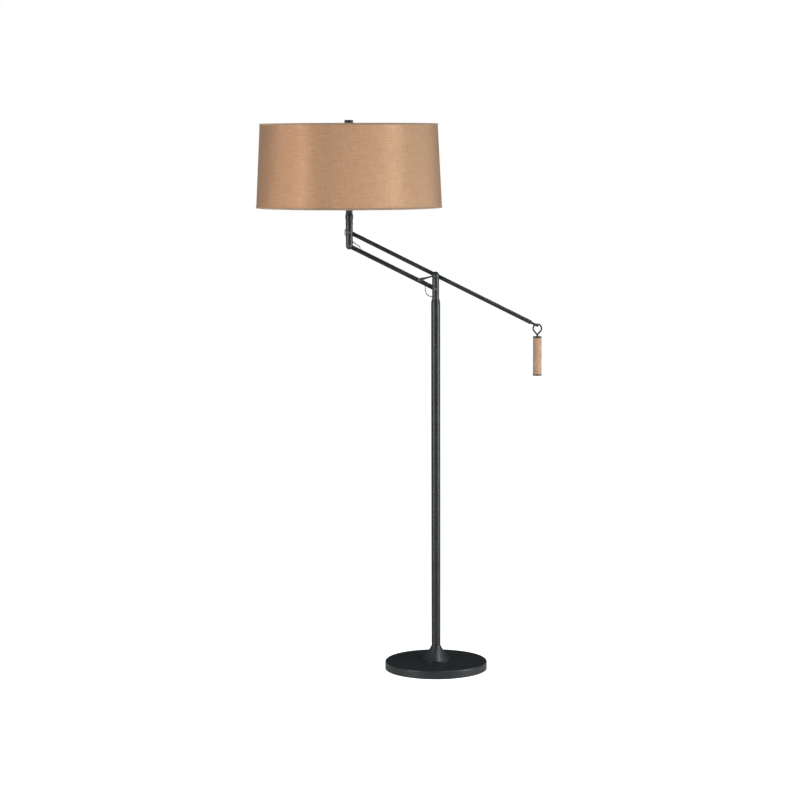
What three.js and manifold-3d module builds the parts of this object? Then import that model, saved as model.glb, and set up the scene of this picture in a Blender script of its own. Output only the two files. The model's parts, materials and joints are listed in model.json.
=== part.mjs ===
// A pharmacy floor lamp: a weighted round base, a pole, and a counterweighted parallelogram arm that
// keeps the drum shade level. Millimetres, +Z up, the shade towards -X and the counterweight towards +X.
// The origin is the middle of the base's underside.
import * as THREE from "three";
import { mergeVertices } from "three/addons/utils/BufferGeometryUtils.js";
import Module from "manifold-3d";

const wasm = await Module();
wasm.setup();

// ---------- driving dimensions, in millimetres ----------
const GAP = 0.3; // between faces and round fits of neighbouring pieces
const CUT = 5; // how far a cutting tool runs past what it cuts

const PAD_THICKNESS = 2;
const PAD_SHOWING = 0.8; // the pad stands this far below the cover's rim
const BASE_RADIUS = 141.7;
const BASE_HEIGHT = 23.6;
const COVER_WALL = 1.5;
const COVER_EDGE = 4; // radius of the cover's top edge
const FLARE_RADIUS = 39;
const FLARE_RISE = 42.4; // of the flare's top above the base
const FLARE_LIP = 2.6;
const FLARE_WALL = 3;
const FLARE_OUT = [0.34, 0.27]; // the sweep's outer handle, as shares of its reach and of its height
const FLARE_IN = [0.21, 0.3]; // the same for the handle at the pole
const FLARE_HOLLOW = 0.6; // height of the hollow inside, as a share of the flare's
const BASE_NIPPLE_RADIUS = 5;
const NIPPLE_BORE = 3.2;
const BASE_NUT_RADIUS = 8.7;
const BASE_NUT_HEIGHT = 5;
const NUT_RECESS_RADIUS = 20;
const NUT_RECESS_DEPTH = 9;
const GROMMET_HEIGHT = 11; // of the cord inlet's axis above the floor
const GROMMET_BORE = 3.4;
const GROMMET_NECK = 4.9;
const GROMMET_FLANGE = 6.6;
const GROMMET_FLANGE_THICKNESS = 1.5;

const POLE_RADIUS = 12.5;
const POLE_WALL = 1.2;
const POLE_SEAM = 530;
const FOOT_PLUG_LENGTH = 30;
const COUPLER_LENGTH = 80;
const COUPLER_WALL = 1.7;

const ARM_ANGLE = THREE.MathUtils.degToRad(26.6); // of the arms above the horizontal, shade side up
const PIVOT_HEIGHT = 1098.1; // of the pole's upper pivot
const LINK_DROP = 38; // from each upper pivot to the lower one
const ARM_LEFT = 264; // from the pole's pivots to the shade head's
const ARM_RIGHT = 312.6; // from the pole's upper pivot to the hanger pin
const ARM_RADIUS = 5.65;
const LINK_RADIUS = 6.2;
const TUBE_WALL = 1;
const FORK_RADIUS = 10;
const FORK_CROWN = 10.7; // from an end pivot to the fork's rounded end
const FORK_SLOT = 6;
const FLAT_LENGTH = 22; // of an arm's milled flats, from the pivot
const SHOULDER_LENGTH = 2.5;
const SPIGOT_LENGTH = 16;
const BOLT_RADIUS = 3;
const PIN_RADIUS = 2.5;
const PIN_SHOWING = 0.7;
const POLE_FORK_DROP = 40.1; // from the lower pivot to the top of the pole's tube
const POLE_FORK_CONE = 16.4;
const POLE_FORK_SPIGOT = 30;
const POLE_SLOT_FLOOR = 28; // below the lower pivot
const HEAD_SLOT_CEILING = 21; // above the upper pivot
const HEAD_FORK_TOP = 29.7; // above the upper pivot
const HEAD_FORK_SHANK = 11; // of the head fork's threaded end
const FORK_EDGE = 0.8; // chamfer at a fork's shoulder
const PIVOT_NUT_RADIUS = 5.8;
const PIVOT_NUT_LENGTH = 5;
const PIVOT_NUT_DOME = 3.5;
const PIVOT_NUT_EDGE = 0.8;
const BOLT_IN_HUB = 5; // how far the bolt reaches into the lever's hub

const YOKE_LENGTH = 19; // from the hanger pin to the end of the arm's tube
const YOKE_HALF_HEIGHT = 3.15;
const YOKE_HALF_WIDTH = 5.2;
const YOKE_SLOT_DEPTH = 17;
const YOKE_CHAMFER = 1.2;
const HANGER_RADIUS = 1.5;
const HANGER_HEAD_RADIUS = 2.4;
const HANGER_HEAD = 0.8;
const HANGER_EDGE = 0.4;

const LEVER_LENGTH = 51;
const LEVER_DROOP = THREE.MathUtils.degToRad(15);
const LEVER_HUB_RADIUS = 5.3;
const LEVER_HUB_CAP = 3.5; // the hub in front of the handle's middle
const LEVER_HUB_EDGE = 1;
const LEVER_NECK_RADIUS = 2.4;
const LEVER_NECK_LENGTH = 18;
const LEVER_TIP_RADIUS = 4.15;
const LEVER_TIP_LENGTH = 10;

const LOOP_WIRE = 2.25;
const LOOP_RADIUS = 11.65; // of the wire's centreline over the top
const LOOP_LEG = 17.4; // from the loop's centre to where its legs meet
const WEIGHT_RADIUS = 12;
const WEIGHT_LENGTH = 108;
const WEIGHT_CAP = 3.5;
const WEIGHT_EDGE = 0.6;
const WEIGHT_WRAP = 1.5;
const WEIGHT_NECK = 4.5; // from where the legs meet to the top cap
const TIE_ROD_RADIUS = 2.6;
const TIE_ROD_DEPTH = 26;
const STUD_DEPTH = 13; // of the lower cap's stud
const SCREW_RELIEF = 2; // past the end of a screwed rod

const COLLAR_LENGTH = 22;
const COLLAR_RADIUS = 10.8;
const COLLAR_NECK = 9.5; // radius at the ends of its swell
const COLLAR_FOOT = 9.3;
const COLLAR_SWELL_STEPS = 6;
const STEM_RADIUS = 9.15;
const STEM_WALL = 1.1;
const STEM_LENGTH = 30;
const HEAD_NIPPLE_RADIUS = 5;

const SADDLE_THICKNESS = 2;
const SADDLE_HALF_WIDTH = 7;
const SADDLE_POST_HEIGHT = 11;
const SADDLE_POST_RADIUS = 3.5;
const HARP_RISE = 203.5; // from the saddle's underside to the harp's disc
const HARP_WIRE = 2.2;
const HARP_HALF_WIDTH = 58;
const HARP_FOOT_HALF = 30; // from the middle to a foot, and to its post on the saddle
const HARP_STUD_RADIUS = 3.2;
const HARP_STUD_LENGTH = 13;
const HARP_DISC_RADIUS = 7;
const HARP_DISC_THICKNESS = 5;
const FERRULE_WALL = 0.9;
const FERRULE_LENGTH = 10;

const SCREW_RADIUS = 13; // of the bulb's screw base
const SCREW_LENGTH = 24;
const SCREW_SHELL_WALL = 0.4;
const SOCKET_WALL = 0.8; // of the liner, the shell and the cap
const SOCKET_CAP_HEIGHT = 18;
const SOCKET_CAP_EDGE = 5;
const SOCKET_SHELL_HEIGHT = 40;
const SOCKET_SHELL_SEAT = 8; // of the shell above the cap's underside
const SOCKET_BLOCK_SEAT = 2; // of the block above the shell's lower edge
const SOCKET_BLOCK_HEIGHT = 10;
const SOCKET_RIM = 1; // how far the liner and the screw shell stay below the rim of what holds them
const CONTACT_RADIUS = 3;
const CONTACT_HEIGHT = 1.5;
const NIPPLE_IN_SOCKET = 5;
const LEAD_IN_SOCKET = 3; // past the nipple
const SWITCH_HEIGHT = 7; // of the knob's axis above the shell's lower edge
const SWITCH_DEPTH = 5.3; // from the socket's axis to the shaft's inner end
const SWITCH_SHAFT_RADIUS = 2.2;
const SWITCH_STANDOFF = 1.5;
const SWITCH_KNOB_RADIUS = 6;
const SWITCH_KNOB_LENGTH = 9;
const SWITCH_KNOB_TAPER = 1;
const SWITCH_GRIP = 1.3; // half width of the rib across the knob's face
const BULB_RADIUS = 30;
const BULB_LENGTH = 84; // of the glass
const BULB_WALL = 0.9;
const BULB_SHOULDER = 0.5; // length of the neck's and the globe's handles, as a share of the rise
const BULB_TIP_RADIUS = 4.5;
const BULB_TIP_RISE = 4;
const BULB_EDGE = 1.5;

const SHADE_HEIGHT = 228.5;
const SHADE_BOTTOM_RADIUS = 254.5;
const SHADE_TOP_RADIUS = 243.1;
const FABRIC_WALL = 1;
const LINER_WALL = 0.8;
const TRIM_WALL = 0.5;
const TRIM_WIDTH = 5;
const FRAME_WIRE = 1.6;
const SPIDER_DROP = 7; // of the spider's hub below the shade's top rim
const SPIDER_HUB_RADIUS = 17;
const SPIDER_HUB_THICKNESS = 2;
const SPIDER_HUB_LAP = 4; // how far a spoke runs onto the hub
const SPIDER_ARMS = 3;
const FINIAL_RADIUS = 11.65;
const FINIAL_HEIGHT = 13;
const FINIAL_NECK_RADIUS = 7;
const FINIAL_NECK_HEIGHT = 3.6;
const FINIAL_EDGE = 1;

const LEAD_RADIUS = 1.45;
const LEAD_CLEARANCE = 0.75; // of a lead in the hole that it goes through
const LEAD_JOIN = 44; // from a link pivot to the end of the straight lead in the link
const LEAD_TOP_JOIN = 30; // above the head's upper pivot
const LEAD_POLE_JOIN = 40; // below the pole's lower pivot
const POLE_LEAD_EXIT = -28.3; // of the jumper's hole in the link, along X from the pole's pivots
const HEAD_LEAD_EXIT = 29.7; // the same, from the shade head's pivots

// ---------- places that follow from them ----------
const LINK_HEIGHT = PIVOT_HEIGHT - LINK_DROP;
const HEAD_X = -ARM_LEFT * Math.cos(ARM_ANGLE);
const HEAD_UPPER = PIVOT_HEIGHT + ARM_LEFT * Math.sin(ARM_ANGLE);
const HEAD_LOWER = HEAD_UPPER - LINK_DROP;
const HANGER_X = ARM_RIGHT * Math.cos(ARM_ANGLE);
const HANGER_Z = PIVOT_HEIGHT - ARM_RIGHT * Math.sin(ARM_ANGLE);
const FLARE_TOP = BASE_HEIGHT + FLARE_RISE;
const NIPPLE_BOTTOM = PAD_THICKNESS + 2 * GAP;
const POLE_TOP = LINK_HEIGHT - POLE_FORK_DROP;
const TONGUE = FORK_SLOT - 2 * GAP;
const POLE_BORE = POLE_RADIUS - POLE_WALL;
const POLE_BOTTOM = FLARE_TOP + GAP;
const TUBE_START = FLAT_LENGTH + SHOULDER_LENGTH + GAP;
const FORK_FACE = FORK_RADIUS + GAP;
const PIN_END = FORK_RADIUS + PIN_SHOWING;
const LEVER_OUT = PIN_END + GAP + LEVER_TIP_RADIUS; // the handle turns clear of the link's pin

const HEAD_SHOULDER = HEAD_UPPER + HEAD_FORK_TOP;
const COLLAR_TOP = HEAD_SHOULDER + COLLAR_LENGTH;
const STEM_TOP = COLLAR_TOP + STEM_LENGTH;
const SADDLE_BOTTOM = STEM_TOP + GAP;
const SADDLE_TOP = SADDLE_BOTTOM + SADDLE_THICKNESS;
const HARP_FOOT = SADDLE_TOP + 2 * GAP;
const HARP_TOP = SADDLE_BOTTOM + HARP_RISE;
const SPIDER_BOTTOM = HARP_TOP + GAP;
const SPIDER_TOP = SPIDER_BOTTOM + SPIDER_HUB_THICKNESS;
const SHADE_TOP = SPIDER_TOP + SPIDER_DROP;
const SHADE_BOTTOM = SHADE_TOP - SHADE_HEIGHT;

const SOCKET_BOTTOM = SADDLE_TOP + GAP;
const HEAD_NIPPLE_TOP = SOCKET_BOTTOM + NIPPLE_IN_SOCKET;
const SHELL_BOTTOM = SOCKET_BOTTOM + SOCKET_SHELL_SEAT;
const SHELL_TOP = SHELL_BOTTOM + SOCKET_SHELL_HEIGHT;
const BLOCK_BOTTOM = SHELL_BOTTOM + SOCKET_BLOCK_SEAT;
const BLOCK_TOP = BLOCK_BOTTOM + SOCKET_BLOCK_HEIGHT;
const CONTACT_TOP = BLOCK_TOP + CONTACT_HEIGHT;
const SWITCH_Z = SHELL_BOTTOM + SWITCH_HEIGHT;
const SCREW_SHELL_BORE = SCREW_RADIUS + GAP;
const LINER_BORE = SCREW_SHELL_BORE + SCREW_SHELL_WALL + GAP;
const SHELL_BORE = LINER_BORE + SOCKET_WALL + GAP;
const CAP_BORE = SHELL_BORE + SOCKET_WALL + GAP;
const SOCKET_CAP_RADIUS = CAP_BORE + SOCKET_WALL;

// Depths in from the shade's outside to each of its layers.
const FABRIC_DEPTH = TRIM_WALL + GAP;
const LINER_DEPTH = FABRIC_DEPTH + FABRIC_WALL + GAP;
const TRIM_INNER_DEPTH = LINER_DEPTH + LINER_WALL + GAP;
const FRAME_DEPTH = TRIM_INNER_DEPTH + TRIM_WALL + GAP + FRAME_WIRE;

// Heights in the counterweight, from the hanger pin's axis.
const LOOP_CENTRE = HANGER_RADIUS + GAP + LOOP_WIRE - LOOP_RADIUS;
const LOOP_JOIN = LOOP_CENTRE - LOOP_LEG;
const WEIGHT_TOP = LOOP_JOIN - WEIGHT_NECK;
const WEIGHT_BOTTOM = WEIGHT_TOP - WEIGHT_LENGTH;

// ---------- fineness of round shapes, in sides ----------
const FINE = 40;
const ROUND = 16;
const SMALL = 10;
const TINY = 8;
const MEDIUM = 24;
const JUMPER_STEPS = 24;
const HARP_STEPS = 40;
const LOOP_STEPS = 32;
const LOOP_ARC_STEPS = 12;

// ---------- shape helpers ----------
function cylinderZ(radius, low, high, sides = ROUND) {
  const shape = new THREE.CylinderGeometry(radius, radius, high - low, sides);
  return shape.rotateX(Math.PI / 2).translate(0, 0, (low + high) / 2);
}

function cylinderY(radius, low, high, sides = SMALL) {
  const shape = new THREE.CylinderGeometry(radius, radius, high - low, sides);
  return shape.translate(0, (low + high) / 2, 0);
}

function cylinderX(radius, low, high, sides = ROUND) {
  const shape = new THREE.CylinderGeometry(radius, radius, high - low, sides);
  return shape.rotateZ(Math.PI / 2).translate((low + high) / 2, 0, 0);
}

function block(lowX, highX, lowY, highY, lowZ, highZ) {
  const shape = new THREE.BoxGeometry(highX - lowX, highY - lowY, highZ - lowZ);
  return shape.translate((lowX + highX) / 2, (lowY + highY) / 2, (lowZ + highZ) / 2);
}

// A turned shape about Z. The profile's points are [radius, height], up the outside.
function turned(profile, sides = ROUND) {
  const points = profile.map(([radius, height]) => new THREE.Vector2(radius, height));
  return new THREE.LatheGeometry(points, sides).rotateX(Math.PI / 2);
}

// The same about Y, with heights along +Y.
function turnedY(profile, sides = SMALL) {
  return turned(profile, sides).rotateX(-Math.PI / 2);
}

function ring(inner, outer, low, high, sides = ROUND) {
  const profile = [[outer, low], [outer, high], [inner, high], [inner, low], [outer, low]];
  return turned(profile, sides);
}

// Points of an arc in a profile, from one angle to another.
function arc(centreR, centreZ, radius, from, to, steps) {
  const points = [];
  for (let i = 0; i <= steps; i += 1) {
    const angle = THREE.MathUtils.degToRad(from + ((to - from) * i) / steps);
    points.push([centreR + radius * Math.cos(angle), centreZ + radius * Math.sin(angle)]);
  }
  return points;
}

// A round wire along a smooth line through points.
function wire(points, radius, sides, steps) {
  const section = new THREE.Shape();
  for (let i = 0; i < sides; i += 1) {
    const angle = (2 * Math.PI * i) / sides;
    const x = radius * Math.cos(angle);
    const y = radius * Math.sin(angle);
    if (i === 0) section.moveTo(x, y);
    else section.lineTo(x, y);
  }
  const line = new THREE.CatmullRomCurve3(points, false, "centripetal");
  const settings = { steps, extrudePath: line, bevelEnabled: false };
  return new THREE.ExtrudeGeometry(section, settings);
}

function toSolid(geometry) {
  const bare = geometry.index ? geometry.toNonIndexed() : geometry.clone();
  bare.deleteAttribute("normal");
  bare.deleteAttribute("uv");
  const merged = mergeVertices(bare, 1e-3);
  const vertProperties = merged.attributes.position.array;
  const triVerts = new Uint32Array(merged.index.array);
  return new wasm.Manifold(new wasm.Mesh({ numProp: 3, vertProperties, triVerts }));
}

function toGeometry(solid) {
  const mesh = solid.getMesh();
  const geometry = new THREE.BufferGeometry();
  geometry.setAttribute("position", new THREE.BufferAttribute(mesh.vertProperties, 3));
  geometry.setIndex(new THREE.BufferAttribute(mesh.triVerts, 1));
  return geometry;
}

function cut(body, ...tools) {
  return toGeometry(tools.reduce((rest, tool) => rest.subtract(toSolid(tool)), toSolid(body)));
}

function join(body, ...others) {
  return toGeometry(others.reduce((all, other) => all.add(toSolid(other)), toSolid(body)));
}

function common(body, other) {
  return toGeometry(toSolid(body).intersect(toSolid(other)));
}

// ---------- finishes ----------
const FINISHES = {
  blackened: { color: 0x2b2f33, roughness: 0.42, metalness: 0.85 },
  gunmetal: { color: 0x54575b, roughness: 0.38, metalness: 0.9 },
  iron: { color: 0x3c3b39, roughness: 0.8, metalness: 0.6 },
  zinc: { color: 0x9a9c9e, roughness: 0.35, metalness: 1 },
  brass: { color: 0xb8954a, roughness: 0.3, metalness: 1 },
  felt: { color: 0x1d1e20, roughness: 0.98, metalness: 0 },
  rubber: { color: 0x151515, roughness: 0.8, metalness: 0 },
  phenolic: { color: 0x1b1613, roughness: 0.45, metalness: 0 },
  card: { color: 0x6f5a43, roughness: 0.9, metalness: 0 },
  lead: { color: 0xb9bbbb, roughness: 0.25, metalness: 0 },
  glass: { color: 0xf4f1ea, roughness: 0.25, metalness: 0 },
  linen: { color: 0xc8a07d, roughness: 0.95, metalness: 0 },
  liner: { color: 0xf0ece2, roughness: 0.7, metalness: 0 },
  trim: { color: 0x9c8168, roughness: 0.95, metalness: 0 },
  leather: { color: 0xc29a77, roughness: 0.7, metalness: 0 },
  bakedWhite: { color: 0xe8e6e0, roughness: 0.5, metalness: 0.1 },
};

function add(group, name, geometry, finish) {
  const mesh = new THREE.Mesh(geometry, new THREE.MeshStandardMaterial(FINISHES[finish]));
  mesh.name = name;
  group.add(mesh);
  return mesh;
}

// ---------- base ----------
function baseCover() {
  const inner = BASE_RADIUS - COVER_WALL;
  const hole = BASE_NIPPLE_RADIUS + GAP;
  const under = BASE_HEIGHT - COVER_WALL;
  const profile = [
    [BASE_RADIUS, PAD_SHOWING],
    ...arc(BASE_RADIUS - COVER_EDGE, BASE_HEIGHT - COVER_EDGE, COVER_EDGE, 0, 90, 4),
    [hole, BASE_HEIGHT],
    [hole, under],
    ...arc(BASE_RADIUS - COVER_EDGE, BASE_HEIGHT - COVER_EDGE, COVER_EDGE - COVER_WALL, 90, 0, 2),
    [inner, PAD_SHOWING],
    [BASE_RADIUS, PAD_SHOWING],
  ];
  const inlet = cylinderY(GROMMET_NECK + GAP, BASE_RADIUS / 2, BASE_RADIUS + CUT);
  return cut(turned(profile, FINE), inlet.translate(0, 0, GROMMET_HEIGHT));
}

function baseWeight() {
  const radius = BASE_RADIUS - COVER_WALL - 2 * GAP;
  const low = PAD_THICKNESS + GAP;
  const high = BASE_HEIGHT - COVER_WALL - GAP;
  const profile = [
    [0, low],
    [radius, low],
    [radius, high - COVER_EDGE],
    [radius - COVER_EDGE, high],
    [0, high],
  ];
  const reach = GROMMET_FLANGE + 2 * GAP;
  const channelTop = GROMMET_HEIGHT + reach;
  return cut(
    turned(profile, FINE),
    cylinderZ(BASE_NIPPLE_RADIUS + GAP, 0, BASE_HEIGHT + CUT),
    cylinderZ(NUT_RECESS_RADIUS, low - CUT, low + NUT_RECESS_DEPTH),
    block(-reach, reach, 0, BASE_RADIUS + CUT, low - CUT, channelTop).translate(0, CUT, 0),
  );
}

function baseFlare() {
  const low = BASE_HEIGHT + GAP;
  const shoulder = low + FLARE_LIP;
  const height = FLARE_TOP - shoulder;
  const reach = FLARE_RADIUS - POLE_RADIUS;
  const bore = BASE_NIPPLE_RADIUS + GAP;
  const outline = new THREE.CubicBezierCurve(
    new THREE.Vector2(FLARE_RADIUS, shoulder),
    new THREE.Vector2(FLARE_RADIUS - FLARE_OUT[0] * reach, shoulder + FLARE_OUT[1] * height),
    new THREE.Vector2(POLE_RADIUS + FLARE_IN[0] * reach, FLARE_TOP - FLARE_IN[1] * height),
    new THREE.Vector2(POLE_RADIUS, FLARE_TOP),
  );
  const outside = outline.getPoints(8).map((point) => [point.x, point.y]);
  const profile = [
    [FLARE_RADIUS, low],
    ...outside,
    [bore, FLARE_TOP],
    [bore, shoulder + FLARE_HOLLOW * height],
    [FLARE_RADIUS - 2 * FLARE_WALL, low],
    [FLARE_RADIUS, low],
  ];
  return turned(profile, MEDIUM);
}

function cordGrommet() {
  const face = BASE_RADIUS + GAP;
  const back = BASE_RADIUS - COVER_WALL - 2 * GAP;
  const inmost = back - GROMMET_FLANGE_THICKNESS;
  const outmost = face + GROMMET_FLANGE_THICKNESS;
  const edge = GROMMET_FLANGE - 2 * GAP;
  const profile = [
    [edge, inmost],
    [edge, back],
    [GROMMET_NECK, back],
    [GROMMET_NECK, face],
    [GROMMET_FLANGE, face],
    [edge, outmost],
    [GROMMET_BORE, outmost],
    [GROMMET_BORE, inmost],
    [edge, inmost],
  ];
  return turnedY(profile, SMALL).translate(0, 0, GROMMET_HEIGHT);
}

function addBase(group) {
  const padRadius = BASE_RADIUS - COVER_WALL - 3 * GAP;
  const recessTop = PAD_THICKNESS + GAP + NUT_RECESS_DEPTH;
  const nutTop = recessTop - GAP;
  const nut = cylinderZ(BASE_NUT_RADIUS, nutTop - BASE_NUT_HEIGHT, nutTop, 6);
  const nutBore = cylinderZ(BASE_NIPPLE_RADIUS + GAP, 0, BASE_HEIGHT);
  const nippleTop = POLE_BOTTOM + FOOT_PLUG_LENGTH;
  const nipple = ring(NIPPLE_BORE, BASE_NIPPLE_RADIUS, NIPPLE_BOTTOM, nippleTop, SMALL);
  add(group, "felt_pad", cylinderZ(padRadius, 0, PAD_THICKNESS, FINE), "felt");
  add(group, "base_weight", baseWeight(), "iron");
  add(group, "base_cover", baseCover(), "blackened");
  add(group, "base_flare", baseFlare(), "blackened");
  add(group, "base_lock_nut", cut(nut, nutBore), "zinc");
  add(group, "base_nipple", nipple, "zinc");
  add(group, "cord_grommet", cordGrommet(), "rubber");
}

// ---------- pole ----------
function poleFork() {
  const low = POLE_TOP + GAP;
  const coneTop = low + POLE_FORK_CONE;
  const crown = PIVOT_HEIGHT + FORK_CROWN;
  const spigot = POLE_BORE - GAP;
  const profile = [
    [0, low - POLE_FORK_SPIGOT],
    [spigot, low - POLE_FORK_SPIGOT],
    [spigot, low],
    [POLE_RADIUS, low],
    [FORK_RADIUS, coneTop],
    ...arc(0, crown - FORK_RADIUS, FORK_RADIUS, 0, 90, 4),
  ];
  const slotHalf = FORK_SLOT / 2;
  const slotFloor = LINK_HEIGHT - POLE_SLOT_FLOOR;
  const wide = POLE_RADIUS + CUT;
  return cut(
    turned(profile, ROUND),
    block(-wide, wide, -slotHalf, slotHalf, slotFloor, crown + CUT),
    cylinderZ(NIPPLE_BORE, low - POLE_FORK_SPIGOT - CUT, slotFloor + CUT, SMALL),
    cylinderY(BOLT_RADIUS + GAP, -wide, wide).translate(0, 0, PIVOT_HEIGHT),
    cylinderY(PIN_RADIUS + GAP, -wide, wide).translate(0, 0, LINK_HEIGHT),
  );
}

function addPole(group) {
  const fit = POLE_BORE - GAP;
  const plugTop = POLE_BOTTOM + FOOT_PLUG_LENGTH;
  const half = COUPLER_LENGTH / 2;
  const upperStart = POLE_SEAM + GAP;
  const coupler = ring(fit - COUPLER_WALL, fit, POLE_SEAM - half, POLE_SEAM + half);
  add(group, "pole_foot_plug", ring(BASE_NIPPLE_RADIUS + GAP, fit, POLE_BOTTOM, plugTop), "zinc");
  add(group, "pole_lower_tube", ring(POLE_BORE, POLE_RADIUS, POLE_BOTTOM, POLE_SEAM), "blackened");
  add(group, "pole_coupler", coupler, "zinc");
  add(group, "pole_upper_tube", ring(POLE_BORE, POLE_RADIUS, upperStart, POLE_TOP), "blackened");
  add(group, "pole_fork", poleFork(), "blackened");
}

// ---------- pivots ----------
// A pin along Y with chamfered ends.
function pivotPin() {
  const profile = [
    [0, -PIN_END],
    [PIN_RADIUS / 2, -PIN_END],
    [PIN_RADIUS, -FORK_RADIUS],
    [PIN_RADIUS, FORK_RADIUS],
    [PIN_RADIUS / 2, PIN_END],
    [0, PIN_END],
  ];
  return turnedY(profile, SMALL);
}

// A domed nut on the bolt's far end.
function pivotNut() {
  const flat = FORK_FACE + PIVOT_NUT_LENGTH;
  const domeRadius = PIVOT_NUT_RADIUS - PIVOT_NUT_EDGE;
  const dome = [
    [0, flat - PIVOT_NUT_EDGE],
    [domeRadius, flat - PIVOT_NUT_EDGE],
    [domeRadius, flat + PIVOT_NUT_EDGE],
    [domeRadius / 2, flat + PIVOT_NUT_DOME],
    [0, flat + PIVOT_NUT_DOME],
  ];
  const hex = cylinderY(PIVOT_NUT_RADIUS, FORK_FACE, flat, 6);
  const bore = cylinderY(BOLT_RADIUS + GAP, FORK_FACE - CUT, flat);
  return cut(join(hex, turnedY(dome)), bore);
}

function addPivots(group) {
  const near = -FORK_FACE - BOLT_IN_HUB + GAP;
  const far = FORK_FACE + PIVOT_NUT_LENGTH - GAP;
  const bolt = cylinderY(BOLT_RADIUS, near, far);
  add(group, "arm_pivot_bolt", bolt.translate(0, 0, PIVOT_HEIGHT), "zinc");
  add(group, "arm_pivot_nut", pivotNut().translate(0, 0, PIVOT_HEIGHT), "gunmetal");
  add(group, "link_pole_pin", pivotPin().translate(0, 0, LINK_HEIGHT), "gunmetal");
}

// The clamp's lever, in front of the fork: a hub on the bolt and a tapered handle to the left.
function clampLever() {
  const back = -FORK_FACE;
  const front = -LEVER_OUT - LEVER_HUB_CAP;
  const hub = [
    [0, front],
    [LEVER_HUB_RADIUS - LEVER_HUB_EDGE, front],
    [LEVER_HUB_RADIUS, front + LEVER_HUB_EDGE],
    [LEVER_HUB_RADIUS, back],
    [0, back],
  ];
  const handle = [
    [0, 0],
    [LEVER_NECK_RADIUS, 0],
    [LEVER_NECK_RADIUS, LEVER_NECK_LENGTH],
    [LEVER_TIP_RADIUS, LEVER_LENGTH - LEVER_TIP_LENGTH],
    ...arc(0, LEVER_LENGTH - LEVER_TIP_RADIUS, LEVER_TIP_RADIUS, 0, 90, 5),
  ];
  const placed = turned(handle, ROUND).rotateY(-Math.PI / 2 - LEVER_DROOP);
  const bore = cylinderY(BOLT_RADIUS + GAP, back - BOLT_IN_HUB, back + CUT);
  return cut(join(turnedY(hub, MEDIUM), placed.translate(0, -LEVER_OUT, 0)), bore);
}

// ---------- arm and link ----------
// Flats milled on a round bar between two places along X.
function flats(radius, from, to) {
  const half = TONGUE / 2;
  const bar = cylinderX(radius, from, to);
  return common(bar, block(from, to, -half, half, -radius, radius));
}

// A tongue on the pivot at x = 0 whose bar goes off along +X: a round end, flats, shoulder and spigot.
function tongue(radius, holeRadius) {
  const shoulderEnd = FLAT_LENGTH + SHOULDER_LENGTH;
  const fit = radius - TUBE_WALL - GAP;
  const eye = common(cylinderY(radius, -radius, radius, ROUND), flats(radius, -radius, radius));
  const body = join(
    eye,
    flats(radius, 0, FLAT_LENGTH),
    cylinderX(radius, FLAT_LENGTH, shoulderEnd),
    cylinderX(fit, shoulderEnd, shoulderEnd + SPIGOT_LENGTH),
  );
  return cut(body, cylinderY(holeRadius, -radius - CUT, radius + CUT));
}

// A tube along X with its near end at x = from.
function tubeX(radius, from, to) {
  const bore = radius - TUBE_WALL;
  return cut(cylinderX(radius, from, to), cylinderX(bore, from - CUT, to + CUT));
}

function armPivotBlock() {
  const fit = ARM_RADIUS - TUBE_WALL - GAP;
  const shoulderEnd = FLAT_LENGTH + SHOULDER_LENGTH;
  const reach = shoulderEnd + SPIGOT_LENGTH;
  const body = join(
    flats(ARM_RADIUS, -FLAT_LENGTH, FLAT_LENGTH),
    cylinderX(ARM_RADIUS, -shoulderEnd, -FLAT_LENGTH),
    cylinderX(ARM_RADIUS, FLAT_LENGTH, shoulderEnd),
    cylinderX(fit, -reach, -shoulderEnd),
    cylinderX(fit, shoulderEnd, reach),
  );
  return cut(body, cylinderY(BOLT_RADIUS + GAP, -ARM_RADIUS - CUT, ARM_RADIUS + CUT));
}

// The small fork at the arm's right end, with its pin hole at x = 0 and its bar towards -X.
function armEndYoke() {
  const fit = ARM_RADIUS - TUBE_WALL - GAP;
  const neckEnd = -YOKE_LENGTH;
  const slotHalf = LOOP_WIRE + GAP;
  const neck = block(neckEnd, 0, -YOKE_HALF_WIDTH, YOKE_HALF_WIDTH, -YOKE_HALF_HEIGHT, YOKE_HALF_HEIGHT);
  const tip = cylinderY(YOKE_HALF_HEIGHT, -YOKE_HALF_WIDTH, YOKE_HALF_WIDTH, MEDIUM);
  const collar = turned([
    [0, 0],
    [ARM_RADIUS, 0],
    [ARM_RADIUS, SHOULDER_LENGTH - YOKE_CHAMFER],
    [ARM_RADIUS - YOKE_CHAMFER, SHOULDER_LENGTH],
    [0, SHOULDER_LENGTH],
  ]);
  collar.rotateY(Math.PI / 2).translate(neckEnd - SHOULDER_LENGTH, 0, 0);
  const spigotStart = neckEnd - SHOULDER_LENGTH - SPIGOT_LENGTH;
  const body = join(
    common(join(neck, tip), cylinderX(ARM_RADIUS, neckEnd, YOKE_HALF_HEIGHT)),
    collar,
    cylinderX(fit, spigotStart, neckEnd - SHOULDER_LENGTH),
  );
  return cut(
    body,
    block(-YOKE_SLOT_DEPTH, CUT, -slotHalf, slotHalf, -CUT, CUT),
    cylinderY(HANGER_RADIUS + GAP, -YOKE_HALF_WIDTH - CUT, YOKE_HALF_WIDTH + CUT),
  );
}

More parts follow.
